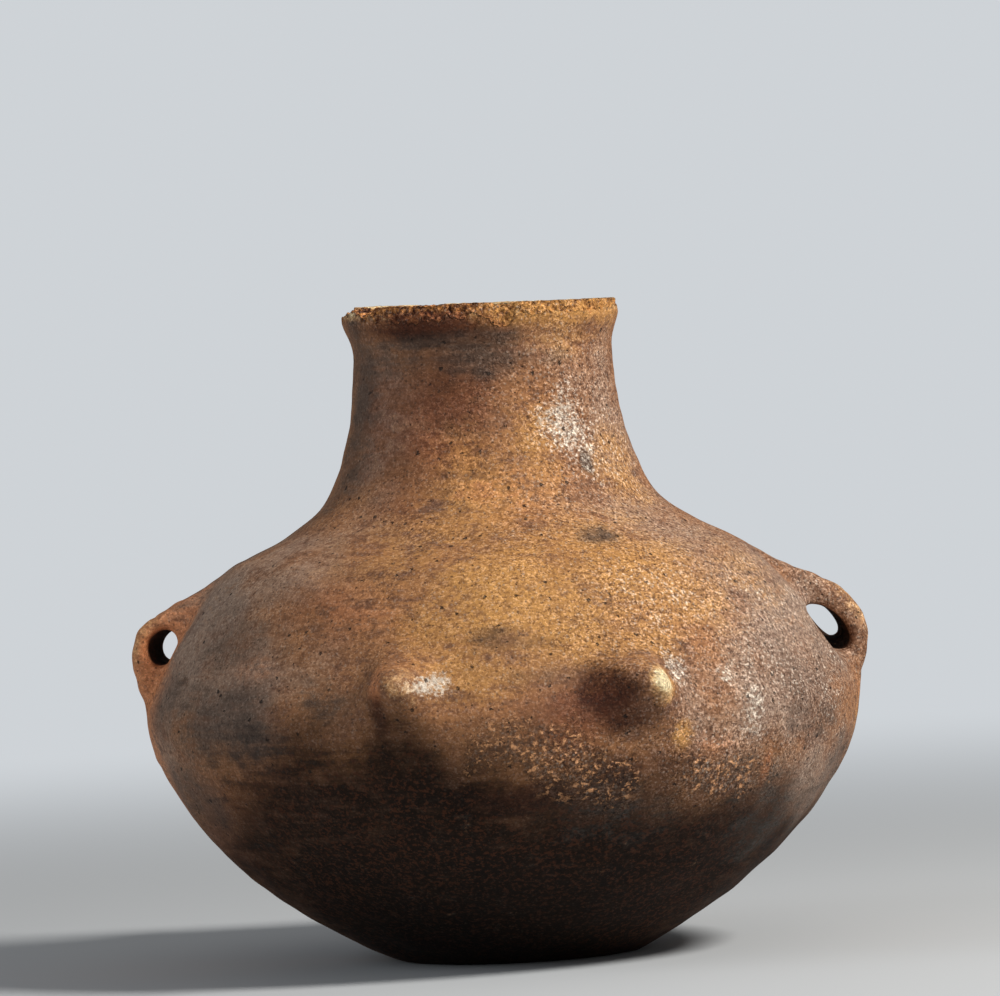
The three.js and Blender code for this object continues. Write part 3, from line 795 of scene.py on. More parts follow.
class JAR_OT_base_disc(bpy.types.Operator):
    """Makes the flat base disc with its turned-up edge"""

    bl_idname = "jar.base_disc"
    bl_label = "Base disc"

    def execute(self, context):
        wall = Wall(context.scene)
        body = wall.body
        azimuth = turns_round(AROUND)
        low, high = course_spans(wall)["base_disc"]
        # The underside is worn flat round its edge and a little hollow in the middle
        underside = np.array(UNDERSIDE_RADII)
        hollow = UNDERSIDE_HOLLOW * smoothstep(0.040, 0.015, underside)
        outer = marks_between(low, high, OUTER_PITCH / 2)[1:]
        inner_edge = high - body.joint_bevel
        edge = wall.face(azimuth, np.array([inner_edge]), inside=True)[None]
        floor_radii = np.array(FLOOR_RADII) * -edge[0, 0, 1]
        under_rows = around_axis(azimuth, underside[:, None], hollow[:, None])
        under_rows[..., 0] += wall.lean(0)
        wall_rows = wall.face(azimuth, outer[:, None])
        edge_rise = edge[..., 2].mean() - body.floor_thickness
        floor_rise = body.floor_thickness + edge_rise * smoothstep(0.72, 1.0, floor_radii / floor_radii[0])
        floor_rows = around_axis(azimuth, floor_radii[:, None], floor_rise[:, None])
        floor_rows[..., 0] += wall.lean(0)
        floor_rows[..., 2] += 0.0004 * waves(floor_rows, 0.02, 31)
        rows = np.concatenate((under_rows, wall_rows, edge, floor_rows))
        centres = np.array(((wall.lean(0), 0, hollow[0]), (wall.lean(0), 0, body.floor_thickness)))
        points = np.vstack((rows.reshape(-1, 3), centres))
        quads = grid(len(rows), AROUND, closed=False)
        first, last = len(points) - 2, (len(rows) - 1) * AROUND
        ring = np.arange(AROUND)
        fans = np.vstack((fan(first, ring, turned=True), fan(first + 1, last + ring)))
        facing = round_facing(points, quads)
        facing[first:] = (0, 0, -1), (0, 0, 1)
        facing = unit(facing)
        top = len(underside) + len(outer) - 1
        top_row = top * AROUND
        facing[top_row : top_row + AROUND] = wall.facing(azimuth, outer[-1:])
        facing[top_row + AROUND : top_row + 2 * AROUND] = wall.facing(azimuth, np.array([inner_edge]), True)
        joint = np.arange(len(quads)) // AROUND == top
        add_piece("base_disc", points, facing, quads, joint, fans)
        return {"FINISHED"}


class JAR_OT_courses(bpy.types.Operator):
    """Makes the courses of clay from the base disc up to the rim"""

    bl_idname = "jar.courses"
    bl_label = "Courses"

    def execute(self, context):
        wall = Wall(context.scene)
        wall.tunnels = list(all_tunnels(context.scene, wall).values())
        azimuth = turns_round(AROUND)
        bevel = wall.body.joint_bevel
        spans = course_spans(wall)
        for node in LOWER_COURSES + SHOULDER_COURSES + UPPER_COURSES:
            low, high = spans[node]
            outer = marks_between(low, high, OUTER_PITCH)[:, None]
            inner = marks_between(low - bevel, high - bevel, INNER_PITCH)[::-1, None]
            rows = np.concatenate((wall.face(azimuth, outer), wall.face(azimuth, inner, inside=True)))
            facing = np.concatenate((wall.facing(azimuth, outer), wall.facing(azimuth, inner, inside=True)))
            quads = grid(len(rows), AROUND)
            row = np.arange(len(quads)) // AROUND
            joint = (row == len(outer) - 1) | (row == len(rows) - 1)
            add_piece(node, rows.reshape(-1, 3), facing.reshape(-1, 3), quads, joint)
        return {"FINISHED"}


# Losses of the lip by azimuth in degrees, in millimetres: how much of the top is gone, how far down the
# outer face has split off, and how deep that split goes at the top
TOP_LOSS = (
    (-180, 0.4), (-165, 0.5), (-160, 2.0), (-154, 2.4), (-150, 0.5), (-125, 0.3), (-113, 0.3), (-109, 2.6),
    (-100, 4.4), (-90, 4.0), (-84, 3.2), (-78, 2.2), (-70, 1.9), (-62, 2.3), (-56, 3.9), (-53, 3.6),
    (-50, 0.9), (-40, 0.7), (-24, 1.0), (-8, 0.6), (6, 0.5), (9, 1.9), (13, 1.5), (17, 0.4), (40, 0.25),
    (60, 0.1), (88, 0.1), (104, 0.5), (120, 1.6), (128, 0.5), (150, 0.3), (180, 0.4),
)
SPLIT_HEIGHT = (
    (-180, 1.5), (-160, 4.0), (-150, 2.0), (-120, 1.0), (-105, 2.5), (-80, 2.6), (-62, 3.6), (-52, 6.3),
    (-38, 5.2), (-30, 6.4), (-18, 6.0), (-8, 5.0), (4, 5.4), (8, 8.0), (11, 10.2), (14, 7.0), (16, 4.8),
    (30, 4.6), (60, 4.2), (90, 3.0), (115, 3.5), (125, 4.4), (140, 1.5), (180, 1.5),
)
SPLIT_DEPTH = (
    (-180, 0.3), (-160, 1.8), (-150, 0.4), (-120, 0.3), (-105, 1.0), (-80, 0.9), (-62, 1.2), (-52, 2.0),
    (-25, 2.1), (-8, 1.7), (5, 1.7), (10, 3.0), (14, 1.5), (16, 0.55), (60, 0.4), (90, 0.3), (115, 0.9),
    (125, 1.3), (140, 0.3), (180, 0.3),
)
RIM_COLUMNS, RIM_ROWS = 640, 58
RIM_OUTER_PITCH, RIM_INNER_PITCH = 0.00025, 0.0006
LIP_STEPS = 24
LIP_BLUNTNESS = 0.62  # 1 rounds the lip evenly, and less makes its top flatter


def whole_lip(wall, azimuth, low, high):
    """Rows of points over the unbroken rim, from its lower outer edge over the lip to the inner one"""
    body = wall.body
    outer = wall.face(azimuth, marks_between(low, high, RIM_OUTER_PITCH)[:, None])
    inner = marks_between(low - body.joint_bevel, high, RIM_INNER_PITCH)[::-1, None]
    inner = wall.face(azimuth, inner, inside=True)
    turns = np.linspace(0, math.pi, LIP_STEPS)[1:-1]
    middle = (outer[-1] + inner[0]) / 2
    half = (outer[-1] - inner[0]) / 2
    across = np.sign(np.cos(turns)) * np.abs(np.cos(turns)) ** LIP_BLUNTNESS
    lip = middle + half * across[:, None, None]
    lip[..., 2] += (body.lip_rounding * np.sin(turns) ** LIP_BLUNTNESS)[:, None]
    return np.concatenate((outer, lip, inner))


def broken_lip(wall, azimuth, section):
    """The rows with the lip's losses taken off, and how freshly broken each point is"""
    body = wall.body
    bottom = section[0, 0, 2]
    reach = np.hypot(section[..., 0] - wall.lean(section[..., 2]), section[..., 1])
    height = section[..., 2].copy()
    turn = np.degrees((azimuth + math.pi) % FULL_TURN - math.pi)
    rough = waves(section, 0.0045, 41) * 0.6 + waves(section, 0.0017, 42) * 0.4
    along = around_axis(azimuth, body.lip_radius, wall.top)
    wander = waves(along, 0.007, 43)
    tables = (np.transpose(table) for table in (TOP_LOSS, SPLIT_HEIGHT, SPLIT_DEPTH))
    loss, split, depth = (MILLIMETRE * np.interp(turn, *table) for table in tables)
    loss *= 1 + 0.10 * wander
    split *= 1 + 0.13 * wander + 0.08 * waves(along, 0.0028, 44)

    # Loss of the top, which slopes down towards the inside where it is deep
    rough_top = 0.00045 * rough * smoothstep(0.0003, 0.002, loss) + 0.00010 * rough
    tilt = (reach - body.lip_radius + body.lip_wall / 2) * 0.25
    ceiling = wall.top - loss - tilt * smoothstep(0.0005, 0.002, loss) + rough_top
    cut_top = np.clip(height - ceiling, 0, None)
    height -= cut_top

    # The outer face split off below it
    above = np.clip((height - (wall.top - split)) / split, 0, 1)
    limit = body.lip_radius - depth * above**0.55 + 0.00050 * rough * (above > 0)
    outer_part = (above > 0) & (reach > body.lip_radius - body.lip_wall * 0.8)
    cut_side = np.where(outer_part, np.clip(reach - limit, 0, None), 0)
    broken = np.clip(cut_top / 0.0004, 0, 1) * smoothstep(0.0002, 0.0012, loss)
    broken = np.maximum(broken, np.clip(cut_side / 0.00025, 0, 1))
    section[..., 0] -= np.sin(azimuth) * cut_side
    section[..., 1] += np.cos(azimuth) * cut_side

    # The lip stands a little higher on the left
    left = smoothstep(body.lip_radius, -body.lip_radius * 0.6, section[..., 0])
    section[..., 2] = height + body.lip_tilt * left * smoothstep(bottom, wall.top, height)
    return section, broken


def spread_evenly(section, broken):
    """Rows spread evenly over what is left of each section"""
    count = section.shape[1]
    steps = np.linalg.norm(np.diff(section, axis=0), axis=-1)
    travel = np.concatenate((np.zeros((1, count)), np.cumsum(steps, axis=0)))
    spread = np.linspace(0, 1, RIM_ROWS)
    values = np.concatenate((section, broken[..., None]), -1)
    rows = np.empty((RIM_ROWS, count, values.shape[-1]))
    for column in range(count):
        at = spread * travel[-1, column]
        for i in range(values.shape[-1]):
            rows[:, column, i] = np.interp(at, travel[:, column], values[:, column, i])
    return rows[..., :3].copy(), rows[..., 3]


class JAR_OT_rim(bpy.types.Operator):
    """Makes the rim strip with its chipped and split lip"""

    bl_idname = "jar.rim"
    bl_label = "Rim"

    def execute(self, context):
        wall = Wall(context.scene)
        low, high = course_spans(wall)["rim_course"]
        azimuth = turns_round(RIM_COLUMNS)
        section = whole_lip(wall, azimuth, low, high)
        points, broken = spread_evenly(*broken_lip(wall, azimuth, section))
        run = np.gradient(points, axis=0)
        side = np.roll(points, -1, axis=1) - np.roll(points, 1, axis=1)
        facing = unit(np.cross(side, run))
        facing[0] = wall.facing(azimuth, np.array([low]))
        facing[-1] = wall.facing(azimuth, np.array([low - wall.body.joint_bevel]), inside=True)
        quads = grid(RIM_ROWS, RIM_COLUMNS)
        joint = np.arange(len(quads)) // RIM_COLUMNS == RIM_ROWS - 1
        worn = smoothstep(wall.top - 0.006, wall.top - 0.001, points[..., 2]) * (1 - broken)
        marks = {"broken": broken.ravel(), "worn": worn.ravel()}
        add_piece("rim_course", points.reshape(-1, 3), facing.reshape(-1, 3), quads, joint, marks=marks)
        return {"FINISHED"}


# Half the box in which a lug's clay is meshed: outwards, along the wall and up
LUG_BOX = (0.030, 0.040, 0.050)
SETTLING_ROUNDS = 3  # times that the net is drawn onto the clay's true face


class JAR_OT_lugs(bpy.types.Operator):
    """Makes the two pierced lugs, smeared onto the shoulder"""

    bl_idname = "jar.lugs"
    bl_label = "Lugs"

    def execute(self, context):
        scene = context.scene
        wall = Wall(scene)
        lugs = scene.jar_lugs
        for node, tunnel in all_tunnels(scene, wall).items():
            ear = Ear(wall, lugs, LUGS[node], tunnel)
            middle = ear.outward * wall.body.belly_radius * 0.92
            middle[2] = ear.outline[:, 1].mean()
            pitch = lugs.pitch
            half = np.array(LUG_BOX)
            steps = [np.arange(-size, size, pitch) for size in half]
            local = np.stack(np.meshgrid(*steps, indexing="ij"), -1)
            ways = np.stack((ear.outward, ear.sideways, (0, 0, 1)))
            field = ear.distance((local.reshape(-1, 3) @ ways) + middle).reshape(local.shape[:3])
            points, quads = net_over(field, -half, pitch)
            points = points @ ways + middle
            for _ in range(SETTLING_ROUNDS):
                off = ear.distance(points)[:, None]
                points = points - np.clip(off, -pitch, pitch) * ear.facing(points) * 0.8
            stand = wall.distance(points)
            along = np.abs((points - tunnel.centre) @ tunnel.through)
            # Painted shade inside the hole, laid on as soot
            inside = smoothstep(0.0016, 0.0004, tunnel.distance(points)) * smoothstep(0.0115, 0.0075, along)
            marks = {"worn": 0.5 * smoothstep(0.007, 0.014, stand), "soot": inside}
            add_piece(node, points, ear.facing(points), quads, marks=marks)
        return {"FINISHED"}


# Knobs: azimuth in degrees, rise as a share of the way from the belly to the shoulder, how far the tip
# turns to the right in degrees, how much it is rubbed and painted with highlight, and the seed of its lumps
KNOBS = {
    "front_left_knob": (-15.5, 0.25, -10, 0.6, 51),
    "front_right_knob": (23, 0.175, 2, 1.5, 52),
    "back_right_knob": (164.5, 0.22, 3, 0.5, 53),
    "back_left_knob": (203, 0.22, -4, 0.8, 54),
}
KNOB_COLUMNS = 84

# Rows of a knob that are hidden in the wall: their radius as a share of the root's, and their depth
HIDDEN_ROWS = ((1.01, 0.0004), (0.97, 0.0030), (0.6, 0.0045))


class JAR_OT_knobs(bpy.types.Operator):
    """Makes the four blunt knobs, drawn out of the belly's clay"""

    bl_idname = "jar.knobs"
    bl_label = "Knobs"

    def execute(self, context):
        wall = Wall(context.scene)
        knobs = context.scene.jar_knobs
        root, tip, long = knobs.root_radius, knobs.tip_radius, knobs.length
        turns = np.linspace(knobs.flank_turn, math.pi / 2 - 0.02, 16)
        cap = np.stack((tip * np.cos(turns), long - tip + tip * np.sin(turns)), -1)
        down_flank = knobs.flank_reach * np.array((math.sin(knobs.flank_turn), -math.cos(knobs.flank_turn)))
        flank = cubic(np.array((root, 0)), np.array((root * 0.58, 0)), cap[0] + down_flank, cap[0], 30)
        profile = np.vstack((flank, cap[1:]))
        count = KNOB_COLUMNS
        around = turns_round(count)
        ring = np.arange(count)
        for node, (turn, rise, swing, rubbing_and_highlight, seed) in KNOBS.items():
            azimuth = math.radians(turn)
            pointing = math.radians(turn + swing)
            height = wall.height_at(rise)
            start = wall.length_at(height)
            radius = wall.radius_at(height)
            axis = around_axis(pointing, math.cos(knobs.lift), math.sin(knobs.lift))

            def rows_at(reach, stand):
                places = wall.face(azimuth + reach * np.sin(around) / radius, start + reach * np.cos(around))
                return places + axis * stand

            reach, stand = profile[:, 0, None], profile[:, 1, None, None]
            shrink = 1 + 0.05 * waves(np.stack((np.cos(around), np.sin(around), 0 * around), -1), 1.6, seed)
            reach = reach * (1 + (shrink - 1) * smoothstep(0, 0.006, profile[:, 1, None]))
            rows = rows_at(reach, stand)
            rows += axis * 0.00025 * waves(rows, 0.009, seed)[..., None] * smoothstep(0.001, 0.006, stand)
            shares, depths = np.transpose(HIDDEN_ROWS)
            hidden = rows_at(root * shares[:, None], -depths[:, None, None])
            grid_rows = np.concatenate((hidden[::-1], rows))
            tip_centre = rows[-1].mean(axis=0)
            back_centre = hidden[-1].mean(axis=0)
            points = np.vstack((grid_rows.reshape(-1, 3), back_centre, tip_centre))
            # Rows run clockwise seen from outside, so the quads are turned over
            quads = grid(len(grid_rows), count, closed=False)[:, ::-1]
            last_ring = (len(grid_rows) - 1) * count + ring
            fans = np.vstack((fan(len(points) - 2, ring), fan(len(points) - 1, last_ring, turned=True)))
            facing = round_facing(points, quads)
            facing[-2:] = -axis, axis
            facing = unit(facing)
            edge = len(hidden) * count
            facing[edge : edge + count] = wall.facing(
                azimuth + root * np.sin(around) / radius, start + root * np.cos(around)
            )
            worn = np.zeros(len(points))
            # Wear and painted highlight: strongest towards the tip and pushed onto the knob's right side,
            # where the key light falls
            out = np.repeat(profile[:, 1], count) / long
            right = np.tile(np.sin(around), len(profile)) * np.repeat(profile[:, 0], count) / tip
            out += 0.30 * np.clip(right, -1, 1) * smoothstep(0.1, 0.6, out)
            worn[edge:-2] = smoothstep(0.55, 1.15, out)
            worn[-1] = worn[-2 - count]
            worn *= rubbing_and_highlight
            add_piece(node, points, facing, quads, fans=fans, marks={"worn": worn})
        return {"FINISHED"}


# Finishes


class Value:
    """A shader socket that takes part in Python expressions"""

    def __init__(self, recipe, socket):
        self.recipe, self.socket = recipe, socket

    def _math(self, operation, one, other):
        return self.recipe.add("ShaderNodeMath", {"operation": operation}, {0: one, 1: other})

    def __add__(self, other):
        return self._math("ADD", self, other)

    def __sub__(self, other):
        return self._math("SUBTRACT", self, other)

    def __rsub__(self, other):
        return self._math("SUBTRACT", other, self)

    def __mul__(self, other):
        return self._math("MULTIPLY", self, other)

    __radd__ = __add__
    __rmul__ = __mul__


class Recipe:
    """The node tree of one material"""

    def __init__(self, tree):
        self.tree = tree
        tree.nodes.clear()

    def add(self, kind, settings=None, sockets=None, output=0):
        """Adds a node: its settings are made first, then its sockets get values or links"""
        node = self.tree.nodes.new(kind)
        for name, setting in (settings or {}).items():
            setattr(node, name, setting)
        for name, value in (sockets or {}).items():
            if isinstance(value, Value):
                self.tree.links.new(value.socket, node.inputs[name])
            else:
                node.inputs[name].default_value = value
        return Value(self, node.outputs[output])

    def stretched(self, place, sizes):
        """Place divided by a size in millimetres along each axis"""
        scale = tuple(1 / (size * MILLIMETRE) for size in sizes)
        return self.add("ShaderNodeVectorMath", {"operation": "MULTIPLY"}, {0: place, 1: scale})

    def noise(self, place, sizes, detail, roughness, distortion=0.0):
        sockets = {"Vector": self.stretched(place, sizes), "Scale": 1.0, "Detail": detail}
        sockets.update({"Roughness": roughness, "Distortion": distortion})
        return self.add("ShaderNodeTexNoise", {}, sockets)

    def grains(self, place, size):
        """Distance from the middle of each grain, and a number that differs from grain to grain"""

        def cells(output):
            sockets = {"Vector": self.stretched(place, (size,) * 3), "Scale": 1.0}
            return self.add("ShaderNodeTexVoronoi", {}, sockets, output)

        off = cells("Distance")
        return off, self.add("ShaderNodeSeparateColor", {}, {0: cells("Color")})

    def ramp(self, value, low, high):
        """Smooth step from 0 at low to 1 at high"""
        return self.add(
            "ShaderNodeMapRange",
            {"interpolation_type": "SMOOTHSTEP"},
            {"Value": value, "From Min": low, "From Max": high},
        )

    def mix(self, share, one, other, blend="MIX"):
        return self.add(
            "ShaderNodeMix",
            {"data_type": "RGBA", "blend_type": blend},
            {0: share, 6: one, 7: other},
            2,
        )

    def cover(self, share, under, shade, level=1.0):
        """Lays a colour over another"""
        return self.mix(share, under, rgba(shade, level))

    def tint(self, share, under, levels):
        """Multiplies a colour by a level for each channel"""
        return self.mix(share, under, (*levels, 1), "MULTIPLY")

    def attribute(self, name):
        return self.add("ShaderNodeAttribute", {"attribute_name": name}, output="Fac")

    def finish(self, shader, kind="ShaderNodeOutputMaterial"):
        """Sends a shader to the output of the tree"""
        node = self.tree.nodes.new(kind)
        self.tree.links.new(shader.socket, node.inputs["Surface"])


def rgba(shade, level=1.0):
    return tuple(channel * level for channel in shade) + (1.0,)


WEATHERING = (
    "smoke", "scorch", "soot", "red", "rust", "gold", "dust", "grit", "pale", "eroded", "broken", "worn",
)

# What each channel of the clay's colour is multiplied by
SCORCH_AND_SHADE = (0.26, 0.19, 0.17)
TORN_PIT_SHADE = (0.42, 0.30, 0.27)
TORN_CREST_HIGHLIGHT = (1.5, 1.5, 1.5)
BLOTCHES = (0.50, 0.45, 0.43)
GAP_SHADE = (0.34, 0.29, 0.28)
GRIT_AND_GLINTS = (1.88, 1.89, 1.93)


def clay_finish(slot):
    """The weathered clay of a slot, with its painted highlight and shade, made once"""
    if slot in bpy.data.materials and bpy.data.materials[slot].get("jar_clay"):
        return bpy.data.materials[slot]
    if slot in bpy.data.materials:
        bpy.data.materials[slot].name = "cad_" + slot
    clay = bpy.context.scene.jar_clay
    material = bpy.data.materials.new(slot)
    material["jar_clay"] = True
    material.use_nodes = True
    recipe = Recipe(material.node_tree)
    place = recipe.add("ShaderNodeTexCoord", output="Object")
    smoke, scorch, soot, red, rust, gold, dust, grit, pale, eroded, broken, worn = (
        recipe.attribute(name) for name in WEATHERING
    )

    # Unevenness of the clay, from hand-wide clouds down to single grains
    clouds = recipe.noise(place, (38, 38, 26), 4, 0.55, 0.6)
    mottle = recipe.noise(place, (11, 11, 7), 5, 0.62, 0.4)
    strokes = recipe.noise(place, (34, 34, 2.6), 4, 0.6, 0.3)
    flecks = recipe.noise(place, (2.8, 2.8, 2.2), 4, 0.7)
    speckle = recipe.noise(place, (1.6, 1.6, 1.4), 3, 0.7)
    sand = recipe.noise(place, (0.85, 0.85, 0.8), 2, 0.6)
    gaps = recipe.noise(place, (1.25, 1.25, 1.1), 3, 0.65)
    crumbs = recipe.noise(place, (2.3, 2.3, 1.9), 4, 0.66)
    cloudy = recipe.ramp(flecks, 0.38, 0.62)
    uneven = (mottle - 0.5) * 1.3 + (flecks - 0.5) * 0.7 + (strokes - 0.5) * 0.8
    # How crisp the grain is, which also sets the strength of the painted glints and of the painted shade
    # between grains
    rough = recipe.ramp(grit + (mottle - 0.5) * 0.8, 0.0, 0.9) * 0.62 + 0.38

    tone = clouds * 0.55 + mottle * 0.6 + strokes * 0.45 + flecks * 0.35
    body = recipe.mix(recipe.ramp(tone, 0.72, 1.18), rgba(clay.brown), rgba(clay.ochre))
    # Covers of colour; the smoke cover also paints shade under the lip and down the neck's left edge, the
    # red cover shadow beside the front right knob, and the gold and rust covers highlights on the knobs
    for patch, raggedness, start, full, density, shade in (
        (red, 1.5, 0.05, 1.2, 0.85, clay.red),
        (dust, 1.3, 0.0, 1.2, 0.80, clay.dust),
        (gold, 1.3, 0.0, 1.2, 0.92, clay.gold),
        (rust, 1.5, 0.1, 1.1, 0.85, clay.rust),
        (smoke, 1.2, 0.05, 1.1, 0.88, clay.smoke),
    ):
        body = recipe.cover(recipe.ramp(patch + uneven * raggedness, start, full) * density, body, shade)
    # Painted shadow beside the knobs and under the lip, and other darkening that keeps the clay's hue
    scorched_and_shaded = recipe.ramp(scorch + uneven, 0.0, 1.1)
    body = recipe.tint(scorched_and_shaded, body, SCORCH_AND_SHADE)
    # Soot turns the clay black, and so does painted shade low on the bowl, below the front left knob and
    # inside the lugs' holes
    sooted_and_shaded = recipe.ramp(soot + uneven * 0.8, 0.0, 1.05)
    deep = recipe.ramp(soot, 1.0, 1.6)
    black = recipe.mix(recipe.ramp(tone, 0.8, 1.2) * 0.6, rgba(clay.soot), rgba(clay.brown, 0.075))
    black = recipe.cover(deep, black, clay.soot, 0.35)
    black = recipe.cover(recipe.ramp(dust + uneven, 0.1, 1.1) * 0.85, black, clay.ash)
    body = recipe.mix(sooted_and_shaded * 0.98, body, black)
    calm = (1 - sooted_and_shaded * 0.97) * (1 - scorched_and_shaded * 0.8) * (1 - recipe.ramp(smoke, 0.0, 1.0) * 0.6)
    calm = calm * (1 - recipe.ramp(red, 0.0, 1.0) * 0.5)

    # Lumps of clay that stand out where the skin has gone, with painted shade in the hollows between them,
    # and whitish deposits
    bare = recipe.ramp(eroded + (mottle - 0.5) * 1.4, 0.15, 0.75)
    crust = recipe.ramp(crumbs + (flecks - 0.5) * 0.3, 0.53, 0.58) * bare
    hollow = recipe.ramp(crumbs, 0.53, 0.43) * bare
    body = recipe.cover(hollow * 0.65, body, clay.smoke, 0.4)
    body = recipe.cover(crust * (0.45 + 0.5 * cloudy), body, clay.crust)
    lime = pale * 0.62 + (speckle - 0.5) * 1.5 + (mottle - 0.5) * 0.7
    limed = recipe.ramp(lime, 0.36, 0.86) * recipe.ramp(pale, 0.0, 0.25)
    body = recipe.cover(limed * 0.90, body, clay.pale)

    # Broken clay of the lip, with painted highlight on its crests and painted shade in its pits, and clay
    # that hands have rubbed, which on the knobs is also painted highlight on the tips and right flanks
    torn = crumbs * 0.6 + flecks * 0.4
    fresh = recipe.mix(recipe.ramp(torn, 0.40, 0.60), rgba(clay.red, 0.7), rgba(clay.core, 1.1))
    fresh = recipe.cover(recipe.ramp(red + uneven * 0.6, 0.3, 0.9) * 0.8, fresh, clay.red, 1.1)
    fresh = recipe.cover(recipe.ramp(gold + uneven * 0.6, 0.2, 1.0) * 0.85, fresh, clay.gold, 1.1)
    fresh = recipe.tint(recipe.ramp(torn, 0.50, 0.38) * 0.8, fresh, TORN_PIT_SHADE)
    fresh = recipe.tint(recipe.ramp(torn, 0.52, 0.62) * 0.8, fresh, TORN_CREST_HIGHLIGHT)
    body = recipe.mix(recipe.ramp(broken + (flecks - 0.5) * 0.5, 0.35, 0.65), body, fresh)
    wear_and_highlight_level = worn + (flecks - 0.5) * 0.9 + (speckle - 0.5) * 1.2 + (mottle - 0.5) * 0.8
    rubbed_and_highlit = recipe.ramp(wear_and_highlight_level, 0.1, 1.1) * recipe.ramp(worn, 0.0, 0.3)
    body = recipe.cover(rubbed_and_highlit * 0.75, body, clay.rubbed_and_highlit)
    body = recipe.cover(recipe.ramp(wear_and_highlight_level, 0.75, 1.25) * 0.95, body, clay.polished_and_highlit)

    # Sand in the clay: pale and dark grains, and pits where grains fell out, with painted shade in the pits
    grain_off, grain_kind = recipe.grains(place, 1.5)
    grain = recipe.ramp(grain_off + (sand - 0.5) * 0.5, 0.40, 0.24)
    pale_grain = grain * recipe.ramp(grain_kind, 0.74, 0.82)
    dark_grain = grain * recipe.ramp(grain_kind, 0.30, 0.20)
    body = recipe.cover(pale_grain * rough * calm * 0.40, body, clay.pale, 0.9)
    body = recipe.cover(dark_grain * 0.5, body, clay.smoke, 0.45)
    pit_off, pit_kind = recipe.grains(place, 5.6)
    pit = recipe.ramp(pit_off + (sand - 0.5) * 0.35 + pit_kind * 0.10, 0.17, 0.10)
    body = recipe.cover(pit * 0.85, body, clay.smoke, 0.2)
    # Crisp grit: bright grains, partly grain colour and partly painted glints of the light, and painted
    # shade in the gaps between them
    bright = recipe.ramp(speckle * 0.5 + sand * 0.5, 0.51, 0.59) * rough
    dark = recipe.ramp(gaps, 0.49, 0.40) * rough
    body = recipe.tint((1 - cloudy) * 0.55, body, BLOTCHES)
    body = recipe.tint(dark * 0.9, body, GAP_SHADE)
    body = recipe.tint(bright, body, GRIT_AND_GLINTS)
    spark = recipe.ramp(speckle * 0.6 + flecks * 0.4, 0.50, 0.58) * sooted_and_shaded * (1 - deep * 0.6)
    body = recipe.cover(spark * 0.7, body, clay.red, 0.30)
    # Whitish painted glints on the bright grains
    body = recipe.cover(bright * calm * 0.20, body, clay.pale)

    height = (
        mottle * 0.18 + strokes * 0.14 + flecks * rough * 0.34 + sand * rough * 0.18 + crust * 1.3
        + bright * 0.05 + pale_grain * 0.06 - dark * 0.06 - pit * 0.40 + broken * torn * 3.0 + limed * 0.05
    )
    bump = recipe.add("ShaderNodeBump", {}, {"Distance": MILLIMETRE, "Height": height})
    roughness = 0.56 + flecks * 0.22 + sooted_and_shaded * 0.28 + broken * 0.15 - rubbed_and_highlit * 0.08
    recipe.finish(recipe.add(
        "ShaderNodeBsdfPrincipled",
        {},
        {"Base Color": body, "Roughness": roughness, "Normal": bump, "Specular IOR Level": 0.2},
    ))
    return material


# Stage


STAGE_RADII = (0.05, 0.1, 0.2, 0.35, 0.6, 1, 2, 4, 7, 12)
FLOOR_COLUMNS = 96
FLOOR_DROP = 0.0002  # below the foot
LAMP_TARGET_HEIGHT = 0.14
CAMERA_OFFSET = 0.0032  # to the right


def aim(thing, target):
    direction = Vector(target) - thing.location
    thing.rotation_euler = direction.to_track_quat("-Z", "Y").to_euler()


